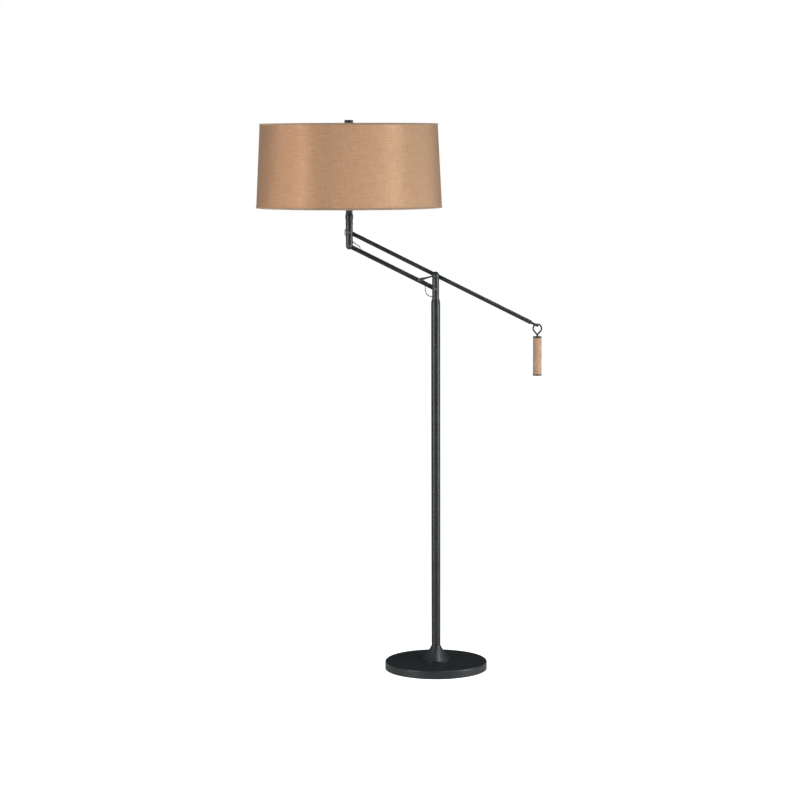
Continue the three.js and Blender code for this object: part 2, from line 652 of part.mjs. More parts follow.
function addArm(group) {
  const headTube = tubeX(ARM_RADIUS, -ARM_LEFT + TUBE_START, -TUBE_START);
  const weightTube = tubeX(ARM_RADIUS, TUBE_START, ARM_RIGHT - YOKE_LENGTH - SHOULDER_LENGTH - GAP);
  const headTongue = tongue(ARM_RADIUS, PIN_RADIUS + GAP).translate(-ARM_LEFT, 0, 0);
  add(group, "arm_pivot_block", armPivotBlock(), "blackened");
  add(group, "arm_head_tube", headTube, "blackened");
  add(group, "arm_weight_tube", weightTube, "blackened");
  add(group, "arm_head_tongue", headTongue, "blackened");
  add(group, "arm_end_yoke", armEndYoke().translate(ARM_RIGHT, 0, 0), "blackened");
}

// An upright hole for a lead, a given way along X from a pivot, in the turned frame of the arms.
function leadHole(x, low, high) {
  const hole = cylinderZ(LEAD_RADIUS + LEAD_CLEARANCE, low, high, SMALL);
  return hole.translate(x, 0, 0).rotateY(-ARM_ANGLE);
}

// A link's tongue, with the upper part of its spigot cut away where the lead runs in.
function linkTongue() {
  const relief = LINK_RADIUS + CUT;
  const start = FLAT_LENGTH + SHOULDER_LENGTH + 2 * GAP;
  const end = start + SPIGOT_LENGTH + CUT;
  const cutter = block(start, end, -relief, relief, -LEAD_RADIUS - LEAD_CLEARANCE, relief);
  return cut(tongue(LINK_RADIUS, PIN_RADIUS + GAP), cutter);
}

function addLink(group) {
  const axisAt = (x) => -x * Math.tan(ARM_ANGLE);
  const reach = LINK_RADIUS + CUT;
  const poleMiddle = axisAt(POLE_LEAD_EXIT);
  const headMiddle = axisAt(HEAD_LEAD_EXIT);
  const poleHole = leadHole(POLE_LEAD_EXIT, poleMiddle - 2 * reach, poleMiddle);
  const headHole = leadHole(HEAD_LEAD_EXIT, headMiddle, headMiddle + 2 * reach);
  const plain = tubeX(LINK_RADIUS, -ARM_LEFT + TUBE_START, -TUBE_START);
  const tube = cut(plain, poleHole, headHole.translate(-ARM_LEFT, 0, 0));
  const poleTongue = linkTongue().rotateY(Math.PI);
  const lead = cylinderX(LEAD_RADIUS, -ARM_LEFT + LEAD_JOIN + GAP, -LEAD_JOIN - GAP, TINY);
  add(group, "link_tube", tube, "blackened");
  add(group, "link_pole_tongue", poleTongue, "blackened");
  add(group, "link_head_tongue", linkTongue().translate(-ARM_LEFT, 0, 0), "blackened");
  add(group, "link_lead", lead, "lead");
}

// ---------- leads that cross the joints ----------
// Offsets [x, z] of the leads' middles, chosen by hand.
const POLE_JUMPER_FROM_LOWER_PIVOT = [
  [-35.8, 17.93], [-31.57, 15.81], [-30.02, 14.68], [-28.7, 12.5], [-28.3, 10.2], [-28.3, 4], [-28.3, -2],
  [-27.4, -8.5], [-24.2, -14.5], [-19, -18.8], [-12.5, -21.2], [-6.5, -22.6], [-1.7, -25.4], [-0.1, -30.5],
];
const HEAD_JUMPER_FROM_UPPER_PIVOT = [
  [0, 24.5], [-1.2, 19], [-5, 13.5], [-9.3, 8.6], [-11.8, 3], [-12.1, -3], [-10.3, -9], [-6, -14.3],
];
const HEAD_JUMPER_FROM_LOWER_PIVOT = [
  [0, 19.3], [5.7, 14.4], [11.3, 9.9], [17.5, 5.5], [23.9, 1.2], [27.4, -1.5], [29.2, -4.6], [29.7, -8.1],
  [29.7, -11.16], [30.6, -14.3], [33, -16.5], [36.6, -18.33],
];

function place([x, z], originX, originZ) {
  return new THREE.Vector3(originX + x, 0, originZ + z);
}

// The place on the link's axis where the straight lead ends, from the pivot at one end.
function joinOffset(side) {
  return [side * LEAD_JOIN * Math.cos(ARM_ANGLE), -side * LEAD_JOIN * Math.sin(ARM_ANGLE)];
}

function addLeads(group) {
  const fromPole = (offset) => place(offset, 0, LINK_HEIGHT);
  const fromUpper = (offset) => place(offset, HEAD_X, HEAD_UPPER);
  const fromLower = (offset) => place(offset, HEAD_X, HEAD_LOWER);
  const polePoints = [joinOffset(-1), ...POLE_JUMPER_FROM_LOWER_PIVOT, [0, -LEAD_POLE_JOIN]].map(fromPole);
  const headPoints = [
    ...[[0, LEAD_TOP_JOIN], ...HEAD_JUMPER_FROM_UPPER_PIVOT].map(fromUpper),
    ...[...HEAD_JUMPER_FROM_LOWER_PIVOT, joinOffset(1)].map(fromLower),
  ];
  const poleLead = cylinderZ(LEAD_RADIUS, NIPPLE_BOTTOM, LINK_HEIGHT - LEAD_POLE_JOIN - GAP, TINY);
  add(group, "pole_lead", poleLead, "lead");
  add(group, "pole_jumper", wire(polePoints, LEAD_RADIUS, TINY, JUMPER_STEPS), "lead");
  add(group, "head_jumper", wire(headPoints, LEAD_RADIUS, TINY, JUMPER_STEPS), "lead");
}

// ---------- shade head ----------
function headFork() {
  const low = HEAD_LOWER - FORK_CROWN;
  const slotHalf = FORK_SLOT / 2;
  const slotTop = HEAD_UPPER + HEAD_SLOT_CEILING;
  const wide = FORK_RADIUS + CUT;
  const profile = [
    ...arc(0, low + FORK_RADIUS, FORK_RADIUS, -90, 0, 4),
    [FORK_RADIUS, HEAD_SHOULDER - FORK_EDGE],
    [FORK_RADIUS - FORK_EDGE, HEAD_SHOULDER],
    [HEAD_NIPPLE_RADIUS, HEAD_SHOULDER],
    [HEAD_NIPPLE_RADIUS, HEAD_SHOULDER + HEAD_FORK_SHANK],
    [0, HEAD_SHOULDER + HEAD_FORK_SHANK],
  ];
  return cut(
    turned(profile, ROUND),
    block(-wide, wide, -slotHalf, slotHalf, low - CUT, slotTop),
    cylinderZ(NIPPLE_BORE, slotTop - CUT, HEAD_SHOULDER + HEAD_FORK_SHANK + CUT, SMALL),
    cylinderY(PIN_RADIUS + GAP, -wide, wide).translate(0, 0, HEAD_UPPER),
    cylinderY(PIN_RADIUS + GAP, -wide, wide).translate(0, 0, HEAD_LOWER),
  );
}

// A sleeve that swells towards its middle.
function headCollar() {
  const low = HEAD_SHOULDER + GAP;
  const bore = HEAD_NIPPLE_RADIUS + GAP;
  const middle = (low + COLLAR_TOP) / 2;
  const half = (COLLAR_TOP - low) / 2 - (FORK_RADIUS - COLLAR_NECK);
  const profile = [[COLLAR_FOOT, low]];
  for (let i = 0; i <= COLLAR_SWELL_STEPS; i += 1) {
    const across = -1 + (2 * i) / COLLAR_SWELL_STEPS;
    const radius = COLLAR_NECK + (COLLAR_RADIUS - COLLAR_NECK) * (1 - across * across);
    profile.push([radius, middle + across * half]);
  }
  profile.push([STEM_RADIUS - GAP, COLLAR_TOP], [bore, COLLAR_TOP], [bore, low], [COLLAR_FOOT, low]);
  return turned(profile, ROUND);
}

function addHead(group) {
  const stem = ring(STEM_RADIUS - STEM_WALL, STEM_RADIUS, COLLAR_TOP + GAP, STEM_TOP);
  const nippleLow = HEAD_SHOULDER + HEAD_FORK_SHANK + GAP;
  const nipple = ring(NIPPLE_BORE, HEAD_NIPPLE_RADIUS, nippleLow, HEAD_NIPPLE_TOP, SMALL);
  const leadTop = HEAD_NIPPLE_TOP + LEAD_IN_SOCKET;
  const lead = cylinderZ(LEAD_RADIUS, HEAD_UPPER + LEAD_TOP_JOIN + GAP, leadTop, TINY);
  add(group, "head_fork", headFork(), "blackened");
  add(group, "arm_head_pin", pivotPin().translate(0, 0, HEAD_UPPER), "gunmetal");
  add(group, "link_head_pin", pivotPin().translate(0, 0, HEAD_LOWER), "gunmetal");
  add(group, "head_collar", headCollar(), "blackened");
  add(group, "head_stem", stem, "blackened");
  add(group, "head_nipple", nipple, "zinc");
  add(group, "head_lead", lead, "lead");
}

// ---------- harp ----------
// Half of the harp's outline, from a foot to the top: shares of its half width and of its height.
const HARP_OUTLINE = [
  [HARP_FOOT_HALF / HARP_HALF_WIDTH, 0],
  [HARP_FOOT_HALF / HARP_HALF_WIDTH, 0.035],
  [HARP_FOOT_HALF / HARP_HALF_WIDTH, 0.07],
  [0.6, 0.13],
  [0.82, 0.23],
  [0.97, 0.36],
  [1, 0.48],
  [0.95, 0.62],
  [0.8, 0.76],
  [0.55, 0.88],
  [0.28, 0.965],
  [0, 1],
];

function harp() {
  const height = HARP_TOP - HARP_DISC_THICKNESS / 2 - HARP_FOOT;
  const onSide = (side) => ([across, up]) =>
    new THREE.Vector3(side * across * HARP_HALF_WIDTH, 0, HARP_FOOT + up * height);
  const right = HARP_OUTLINE.map(onSide(1));
  const left = HARP_OUTLINE.slice(0, -1).reverse().map(onSide(-1));
  const bow = wire([...right, ...left], HARP_WIRE, TINY, HARP_STEPS);
  const disc = cylinderZ(HARP_DISC_RADIUS, HARP_TOP - HARP_DISC_THICKNESS, HARP_TOP, SMALL);
  const studFoot = HARP_TOP - HARP_DISC_THICKNESS / 2;
  const stud = cylinderZ(HARP_STUD_RADIUS, studFoot, HARP_TOP + HARP_STUD_LENGTH, SMALL);
  return join(bow, disc, stud);
}

function harpSaddle() {
  const low = SADDLE_BOTTOM;
  const high = SADDLE_TOP;
  const postTop = high + SADDLE_POST_HEIGHT;
  const across = HARP_FOOT_HALF;
  const parts = [];
  const bores = [cylinderZ(HEAD_NIPPLE_RADIUS + GAP, low - CUT, high + CUT, SMALL)];
  for (const side of [-1, 1]) {
    const x = side * across;
    parts.push(cylinderZ(SADDLE_POST_RADIUS, low, postTop, SMALL).translate(x, 0, 0));
    bores.push(cylinderZ(HARP_WIRE + GAP, high, postTop + CUT, SMALL).translate(x, 0, 0));
  }
  const strap = block(-across, across, -SADDLE_HALF_WIDTH, SADDLE_HALF_WIDTH, low, high);
  return cut(join(strap, ...parts), ...bores);
}

function addHarp(group) {
  const ferruleLow = SADDLE_TOP + GAP;
  const inner = SADDLE_POST_RADIUS + GAP;
  add(group, "harp_saddle", harpSaddle(), "zinc");
  add(group, "harp", harp(), "zinc");
  for (const [name, side] of [["harp_ferrule_left", -1], ["harp_ferrule_right", 1]]) {
    const sleeve = ring(inner, inner + FERRULE_WALL, ferruleLow, ferruleLow + FERRULE_LENGTH, SMALL);
    add(group, name, sleeve.translate(side * HARP_FOOT_HALF, 0, 0), "brass");
  }
}

// ---------- socket and bulb ----------
function socketCap() {
  const low = SOCKET_BOTTOM;
  const high = low + SOCKET_CAP_HEIGHT;
  const bore = HEAD_NIPPLE_RADIUS + GAP;
  const edge = SOCKET_CAP_EDGE;
  const profile = [
    [bore, low],
    ...arc(SOCKET_CAP_RADIUS - edge, low + edge, edge, -90, 0, 4),
    [SOCKET_CAP_RADIUS, high],
    [CAP_BORE, high],
    ...arc(SOCKET_CAP_RADIUS - edge, low + edge, edge - SOCKET_WALL, 0, -90, 4),
    [bore, low + SOCKET_WALL],
    [bore, low],
  ];
  return turned(profile, ROUND);
}

// A hole for the switch's shaft, from outside the cap to just past the shaft's inner end.
function switchHole() {
  const hole = cylinderY(SWITCH_SHAFT_RADIUS + GAP, -SOCKET_CAP_RADIUS - CUT, -SWITCH_DEPTH + 2 * GAP);
  return hole.translate(0, 0, SWITCH_Z);
}

function addSocket(group) {
  const screwOuter = SCREW_SHELL_BORE + SCREW_SHELL_WALL;
  const screwTop = SHELL_TOP - 2 * SOCKET_RIM;
  const shell = ring(SHELL_BORE, SHELL_BORE + SOCKET_WALL, SHELL_BOTTOM, SHELL_TOP);
  const liner = ring(LINER_BORE, LINER_BORE + SOCKET_WALL, BLOCK_TOP + GAP, SHELL_TOP - SOCKET_RIM);
  const core = cylinderZ(SHELL_BORE - 2 * GAP, BLOCK_BOTTOM, BLOCK_TOP);
  const contact = cylinderZ(CONTACT_RADIUS, BLOCK_TOP - CONTACT_HEIGHT, CONTACT_TOP, SMALL);
  const screw = ring(SCREW_SHELL_BORE, screwOuter, BLOCK_TOP + GAP, screwTop);
  add(group, "socket_cap", cut(socketCap(), switchHole()), "brass");
  add(group, "socket_shell", cut(shell, switchHole()), "brass");
  add(group, "socket_insulator", liner, "card");
  add(group, "socket_block", cut(join(core, contact), switchHole()), "phenolic");
  add(group, "socket_screw_shell", screw, "zinc");
}

// The switch's knob and shaft, towards -Y.
function switchKnob() {
  const start = -SOCKET_CAP_RADIUS - SWITCH_STANDOFF;
  const end = start - SWITCH_KNOB_LENGTH;
  const taper = SWITCH_KNOB_TAPER;
  const knob = [
    [0, end],
    [SWITCH_KNOB_RADIUS - 2 * taper, end],
    [SWITCH_KNOB_RADIUS - taper, end + taper],
    [SWITCH_KNOB_RADIUS, start],
    [0, start],
  ];
  const reach = SWITCH_KNOB_RADIUS - taper;
  const shaft = cylinderY(SWITCH_SHAFT_RADIUS, start - taper, -SWITCH_DEPTH);
  const grip = block(-SWITCH_GRIP, SWITCH_GRIP, end - 2 * taper, end + taper, -reach, reach);
  return join(turnedY(knob, ROUND), shaft, grip);
}

function bulbBase(low, high) {
  return turned([
    [0, low],
    [BULB_TIP_RADIUS, low],
    [SCREW_RADIUS - BULB_EDGE, low + BULB_TIP_RISE],
    [SCREW_RADIUS, low + BULB_TIP_RISE + BULB_EDGE],
    [SCREW_RADIUS, high],
    [0, high],
  ]);
}

// One surface of the glass: a neck that swells into a globe.
function bulbSurface(low, inset) {
  const centre = low + BULB_LENGTH - BULB_RADIUS;
  const handle = BULB_SHOULDER * (centre - low);
  const neck = SCREW_RADIUS - 2 * GAP - inset;
  const globe = BULB_RADIUS - inset;
  const rise = new THREE.CubicBezierCurve(
    new THREE.Vector2(neck, low),
    new THREE.Vector2(neck, low + handle),
    new THREE.Vector2(globe, centre - handle),
    new THREE.Vector2(globe, centre),
  );
  return [...rise.getPoints(6).map((point) => [point.x, point.y]), ...arc(0, centre, globe, 15, 90, 5)];
}

function addBulb(group) {
  const baseLow = CONTACT_TOP + GAP;
  const baseTop = baseLow + SCREW_LENGTH;
  const outside = bulbSurface(baseTop + GAP, 0);
  const inside = bulbSurface(baseTop + GAP, BULB_WALL).reverse();
  const glass = turned([...outside, ...inside, outside[0]]);
  add(group, "bulb_base", bulbBase(baseLow, baseTop), "zinc");
  add(group, "bulb_glass", glass, "glass");
}

// ---------- shade ----------
function shadeRadius(z) {
  const share = (z - SHADE_BOTTOM) / (SHADE_TOP - SHADE_BOTTOM);
  return SHADE_BOTTOM_RADIUS + (SHADE_TOP_RADIUS - SHADE_BOTTOM_RADIUS) * share;
}

// A conical wall of the shade, a given depth in from its outside.
function shadeWall(depth, wall) {
  const low = SHADE_BOTTOM + TRIM_WALL + GAP;
  const high = SHADE_TOP - TRIM_WALL - GAP;
  const profile = [
    [shadeRadius(low) - depth, low],
    [shadeRadius(high) - depth, high],
    [shadeRadius(high) - depth - wall, high],
    [shadeRadius(low) - depth - wall, low],
    [shadeRadius(low) - depth, low],
  ];
  return turned(profile, FINE);
}

// The tape folded over a rim; inward is +1 at the bottom rim and -1 at the top one.
function shadeTrim(rim, inward) {
  const at = (depth, rise) => [shadeRadius(rim + inward * rise) - depth, rim + inward * rise];
  const corners = [
    at(0, 0),
    at(0, TRIM_WIDTH),
    at(TRIM_WALL, TRIM_WIDTH),
    at(TRIM_WALL, TRIM_WALL),
    at(TRIM_INNER_DEPTH, TRIM_WALL),
    at(TRIM_INNER_DEPTH, TRIM_WIDTH),
    at(TRIM_INNER_DEPTH + TRIM_WALL, TRIM_WIDTH),
    at(TRIM_INNER_DEPTH + TRIM_WALL, 0),
    at(0, 0),
  ];
  return turned(inward > 0 ? corners : corners.reverse(), FINE);
}

function frameRing(z) {
  const radius = shadeRadius(z) - FRAME_DEPTH;
  return new THREE.TorusGeometry(radius, FRAME_WIRE, 5, FINE).translate(0, 0, z);
}

// The spider: three wires from a ring at the rim down to a hub that sits on the harp.
function shadeSpider() {
  const ringZ = SHADE_TOP - TRIM_WALL - FRAME_WIRE;
  const hubZ = SPIDER_TOP - SPIDER_HUB_THICKNESS / 2;
  const ringRadius = shadeRadius(ringZ) - FRAME_DEPTH;
  const start = SPIDER_HUB_RADIUS - SPIDER_HUB_LAP;
  const tilt = Math.atan2(ringZ - hubZ, ringRadius - start);
  const length = Math.hypot(ringZ - hubZ, ringRadius - start);
  const spokes = [];
  for (let i = 0; i < SPIDER_ARMS; i += 1) {
    const spoke = cylinderX(FRAME_WIRE, 0, length, TINY).rotateY(-tilt).translate(start, 0, hubZ);
    spokes.push(spoke.rotateZ(Math.PI / 2 + (2 * Math.PI * i) / SPIDER_ARMS));
  }
  const hub = cylinderZ(SPIDER_HUB_RADIUS, SPIDER_BOTTOM, SPIDER_TOP, MEDIUM);
  const bore = cylinderZ(HARP_STUD_RADIUS + GAP, SPIDER_BOTTOM - CUT, SPIDER_TOP + CUT, SMALL);
  return cut(join(frameRing(ringZ), hub, ...spokes), bore);
}

function finial() {
  const low = SPIDER_TOP + GAP;
  const shoulder = low + FINIAL_NECK_HEIGHT;
  const top = shoulder + FINIAL_HEIGHT;
  const profile = [
    [0, low],
    [FINIAL_NECK_RADIUS, low],
    [FINIAL_NECK_RADIUS, shoulder],
    [FINIAL_RADIUS - FINIAL_EDGE, shoulder],
    [FINIAL_RADIUS, shoulder + FINIAL_EDGE],
    ...arc(FINIAL_RADIUS - FINIAL_EDGE, top - FINIAL_EDGE, FINIAL_EDGE, 0, 90, 3),
    [0, top],
  ];
  const bore = cylinderZ(HARP_STUD_RADIUS + GAP, low - CUT, HARP_TOP + HARP_STUD_LENGTH + GAP, SMALL);
  return cut(turned(profile, ROUND), bore);
}

function addShade(group) {
  const bottomRing = frameRing(SHADE_BOTTOM + TRIM_WALL + FRAME_WIRE);
  add(group, "shade_fabric", shadeWall(FABRIC_DEPTH, FABRIC_WALL), "linen");
  add(group, "shade_liner", shadeWall(LINER_DEPTH, LINER_WALL), "liner");
  add(group, "shade_trim_bottom", shadeTrim(SHADE_BOTTOM, 1), "trim");
  add(group, "shade_trim_top", shadeTrim(SHADE_TOP, -1), "trim");
  add(group, "shade_bottom_ring", bottomRing, "bakedWhite");
  add(group, "shade_spider", shadeSpider(), "bakedWhite");
  add(group, "finial", finial(), "blackened");
}

// ---------- counterweight, with the hanger pin at the origin ----------
// A pear-shaped loop: an arc over the top, and straight legs that meet below it.
function weightLoop() {
  const lean = Math.asin(LOOP_RADIUS / LOOP_LEG);
  const leg = LOOP_LEG * Math.cos(lean);
  const onLeg = (side) => (share) =>
    new THREE.Vector3(side * share * leg * Math.sin(lean), 0, LOOP_JOIN + share * leg * Math.cos(lean));
  const over = [];
  for (let i = 0; i <= LOOP_ARC_STEPS; i += 1) {
    const angle = Math.PI + lean - ((Math.PI + 2 * lean) * i) / LOOP_ARC_STEPS;
    const height = LOOP_CENTRE + LOOP_RADIUS * Math.sin(angle);
    over.push(new THREE.Vector3(LOOP_RADIUS * Math.cos(angle), 0, height));
  }
  const shares = [0, 1 / 3, 2 / 3];
  const points = [...shares.map(onLeg(-1)), ...over, ...shares.reverse().map(onLeg(1))];
  const rod = cylinderZ(TIE_ROD_RADIUS, WEIGHT_TOP - TIE_ROD_DEPTH, LOOP_JOIN + 1, SMALL);
  return join(wire(points, LOOP_WIRE, SMALL, LOOP_STEPS), rod);
}

function weightTopCap() {
  const low = WEIGHT_TOP - WEIGHT_CAP;
  const disc = turned([
    [0, low],
    [WEIGHT_RADIUS, low],
    [WEIGHT_RADIUS, WEIGHT_TOP - WEIGHT_EDGE],
    [WEIGHT_RADIUS - WEIGHT_EDGE, WEIGHT_TOP],
    [0, WEIGHT_TOP],
  ]);
  return cut(disc, cylinderZ(TIE_ROD_RADIUS + GAP, low - CUT, WEIGHT_TOP + CUT, SMALL));
}

// The lower cap, with the screwed stud that holds it in the core.
function weightBottomCap() {
  const high = WEIGHT_BOTTOM + WEIGHT_CAP;
  return turned([
    [0, WEIGHT_BOTTOM],
    [WEIGHT_RADIUS - WEIGHT_EDGE, WEIGHT_BOTTOM],
    [WEIGHT_RADIUS, WEIGHT_BOTTOM + WEIGHT_EDGE],
    [WEIGHT_RADIUS, high],
    [TIE_ROD_RADIUS, high],
    [TIE_ROD_RADIUS, high + STUD_DEPTH],
    [0, high + STUD_DEPTH],
  ]);
}

function addWeight(group) {
  const low = WEIGHT_BOTTOM + WEIGHT_CAP + GAP;
  const high = WEIGHT_TOP - WEIGHT_CAP - GAP;
  const inner = WEIGHT_RADIUS - WEIGHT_WRAP;
  const core = cut(
    cylinderZ(inner - GAP, low, high),
    cylinderZ(TIE_ROD_RADIUS + GAP, WEIGHT_TOP - TIE_ROD_DEPTH - SCREW_RELIEF, high + CUT, SMALL),
    cylinderZ(TIE_ROD_RADIUS + GAP, low - CUT, low + STUD_DEPTH + SCREW_RELIEF, SMALL),
  );
  add(group, "weight_loop", weightLoop(), "blackened");
  add(group, "weight_top_cap", weightTopCap(), "blackened");
  add(group, "weight_core", core, "iron");
  add(group, "weight_wrap", ring(inner, WEIGHT_RADIUS, low, high), "leather");
  add(group, "weight_bottom_cap", weightBottomCap(), "blackened");
}

// The pin that the loop hangs on, with a head each side of the yoke.
function hangerPin() {
  const inside = YOKE_HALF_WIDTH + GAP;
  const outside = inside + HANGER_HEAD;
  const half = [
    [HANGER_RADIUS, inside],
    [HANGER_HEAD_RADIUS, inside],
    [HANGER_HEAD_RADIUS - HANGER_EDGE, outside],
    [0, outside],
  ];
  const near = half.slice().reverse().map(([radius, y]) => [radius, -y]);
  return turnedY([...near, ...half], SMALL);
}

// ---------- assembly ----------
const lamp = new THREE.Group();
addBase(lamp);
addPole(lamp);
addPivots(lamp);
addLeads(lamp);
add(lamp, "clamp_lever", clampLever().translate(0, 0, PIVOT_HEIGHT), "gunmetal");

const arm = new THREE.Group();
arm.position.set(0, 0, PIVOT_HEIGHT);
arm.rotation.y = ARM_ANGLE;
addArm(arm);

const link = new THREE.Group();
link.position.set(0, 0, LINK_HEIGHT);
link.rotation.y = ARM_ANGLE;
addLink(link);

const head = new THREE.Group();
head.position.set(HEAD_X, 0, 0);
addHead(head);
addHarp(head);
addSocket(head);
add(head, "switch_knob", switchKnob().translate(0, 0, SWITCH_Z), "phenolic");
addBulb(head);
addShade(head);

const counterweight = new THREE.Group();
counterweight.position.set(HANGER_X, 0, HANGER_Z);
add(counterweight, "hanger_pin", hangerPin(), "gunmetal");
addWeight(counterweight);

lamp.add(arm, link, head, counterweight);

export default lamp;
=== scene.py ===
import json
import math

import bmesh
import bpy
from mathutils import Matrix, Vector, noise


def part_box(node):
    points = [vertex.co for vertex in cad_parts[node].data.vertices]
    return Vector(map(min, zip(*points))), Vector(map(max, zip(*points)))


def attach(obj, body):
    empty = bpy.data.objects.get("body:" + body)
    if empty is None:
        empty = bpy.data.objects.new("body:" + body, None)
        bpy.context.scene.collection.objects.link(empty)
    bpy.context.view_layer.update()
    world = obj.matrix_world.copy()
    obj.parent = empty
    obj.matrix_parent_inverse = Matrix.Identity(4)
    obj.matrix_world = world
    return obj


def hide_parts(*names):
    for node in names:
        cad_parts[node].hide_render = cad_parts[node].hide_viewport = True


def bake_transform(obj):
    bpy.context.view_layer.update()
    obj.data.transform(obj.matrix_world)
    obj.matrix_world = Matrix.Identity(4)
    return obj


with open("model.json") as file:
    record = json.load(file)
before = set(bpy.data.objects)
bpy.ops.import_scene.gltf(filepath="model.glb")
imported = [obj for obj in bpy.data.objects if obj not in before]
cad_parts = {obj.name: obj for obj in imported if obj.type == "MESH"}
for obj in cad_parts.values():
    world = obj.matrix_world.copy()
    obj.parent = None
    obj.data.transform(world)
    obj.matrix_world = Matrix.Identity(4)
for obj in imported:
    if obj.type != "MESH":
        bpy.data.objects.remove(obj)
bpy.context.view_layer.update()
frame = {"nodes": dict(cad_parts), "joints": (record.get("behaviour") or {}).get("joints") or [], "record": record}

RECORD = frame["record"]
NODES = frame["nodes"]
JOINTS = {joint["name"]: joint for joint in frame["joints"]}
BODY_OF = {node: body for body, nodes in RECORD["behaviour"]["bodies"].items() for node in nodes}
SLOT_OF = {part["node"]: part["material_slot"] for part in RECORD["subparts"]}

MM = 0.001
Y = Vector((0, 1, 0))
Z = Vector((0, 0, 1))


def pivot(joint):
    return Vector(JOINTS[joint]["pos_m"])


ARM = pivot("arm_tilt")
LINK = pivot("link_tilt")
HEAD_LOWER = pivot("head_level")
HEAD_UPPER = HEAD_LOWER + ARM - LINK
HANGER = pivot("weight_level")
ARM_AXIS = (HANGER - ARM).normalized()
ORIGIN = Vector((0, 0, 0))
HEAD = Vector((HEAD_LOWER.x, 0, 0))


# ---------- camera, light and floor ----------
CAMERA_PLACE = (-0.0986, -6.4015, 1.4541)
CAMERA_PITCH = math.radians(6.244)
CAMERA_ROLL = math.radians(-0.16)
CAMERA_LENS = 105.07
CAMERA_SENSOR = 36


def make_camera():
    data = bpy.data.cameras.new("camera")
    data.lens = CAMERA_LENS
    data.sensor_width = CAMERA_SENSOR
    camera = bpy.data.objects.new("camera", data)
    camera.location = CAMERA_PLACE
    turn = Matrix.Rotation(math.pi / 2 - CAMERA_PITCH, 3, "X") @ Matrix.Rotation(CAMERA_ROLL, 3, "Z")
    camera.rotation_euler = turn.to_euler()
    bpy.context.scene.collection.objects.link(camera)
    bpy.context.scene.camera = camera


def soft_box(name, azimuth, distance, height, width, tall, power, aim_height=0.8, spread=180):
    """A large soft light; azimuth is from the front, positive to the right."""
    data = bpy.data.lights.new(name, "AREA")
    data.shape = "RECTANGLE"
    data.size = width
    data.size_y = tall
    data.energy = power
    data.spread = math.radians(spread)
    light = bpy.data.objects.new(name, data)
    angle = math.radians(azimuth)
    light.location = (distance * math.sin(angle), -distance * math.cos(angle), height)
    aim = Vector((0, 0, aim_height)) - light.location
    light.rotation_euler = aim.to_track_quat("-Z", "Y").to_euler()
    bpy.context.scene.collection.objects.link(light)


SURROUND = 0.04
FLOOR_GLOW = 1.0
FLOOR_GLOW_ON_OBJECT = 0.05


def make_world():
    """White behind the object, and a dimmer surround for what falls on it."""
    world = bpy.data.worlds.new("studio")
    world.use_nodes = True
    nodes = world.node_tree.nodes
    links = world.node_tree.links
    surround = nodes["Background"]
    surround.inputs["Color"].default_value = (0.95, 0.98, 1, 1)
    surround.inputs["Strength"].default_value = SURROUND
    white = nodes.new("ShaderNodeBackground")
    white.inputs["Color"].default_value = (1, 1, 1, 1)
    path = nodes.new("ShaderNodeLightPath")
    mix = nodes.new("ShaderNodeMixShader")
    links.new(path.outputs["Is Camera Ray"], mix.inputs[0])
    links.new(surround.outputs[0], mix.inputs[1])
    links.new(white.outputs[0], mix.inputs[2])
    links.new(mix.outputs[0], nodes["World Output"].inputs["Surface"])
    bpy.context.scene.world = world


def make_floor():
    mesh = bpy.data.meshes.new("floor")
    builder = bmesh.new()
    bmesh.ops.create_circle(builder, cap_ends=True, segments=96, radius=30)
    builder.to_mesh(mesh)
    builder.free()
    floor = bpy.data.objects.new("floor", mesh)
    bpy.context.scene.collection.objects.link(floor)
    shader = Shader("floor", {"Base Color": (0.8, 0.8, 0.8, 1), "Roughness": 0.85})
    shader.set("Emission Color", (1, 1, 1, 1))
    seen = shader.add("LightPath", {})
    shader.set("Emission Strength", shader.spread(seen, 0, 1, FLOOR_GLOW_ON_OBJECT, FLOOR_GLOW))
    mesh.materials.append(shader.material)


def make_studio():
    scene = bpy.context.scene
    scene.view_settings.view_transform = "Standard"
    make_camera()
    make_world()
    soft_box("light_left", -53, 3.3, 1.2, 0.7, 2.4, 70)
    soft_box("light_right", 70, 3.3, 1.2, 0.7, 2.4, 90)
    soft_box("light_left_side", -112, 3.3, 1.4, 1.2, 1.6, 4)
    soft_box("light_right_side", 112, 3.3, 1.4, 1.2, 1.6, 2.5)
    soft_box("light_base", 43, 1.38, 2.2, 0.6, 0.6, 1.4, aim_height=0, spread=50)
    make_floor()


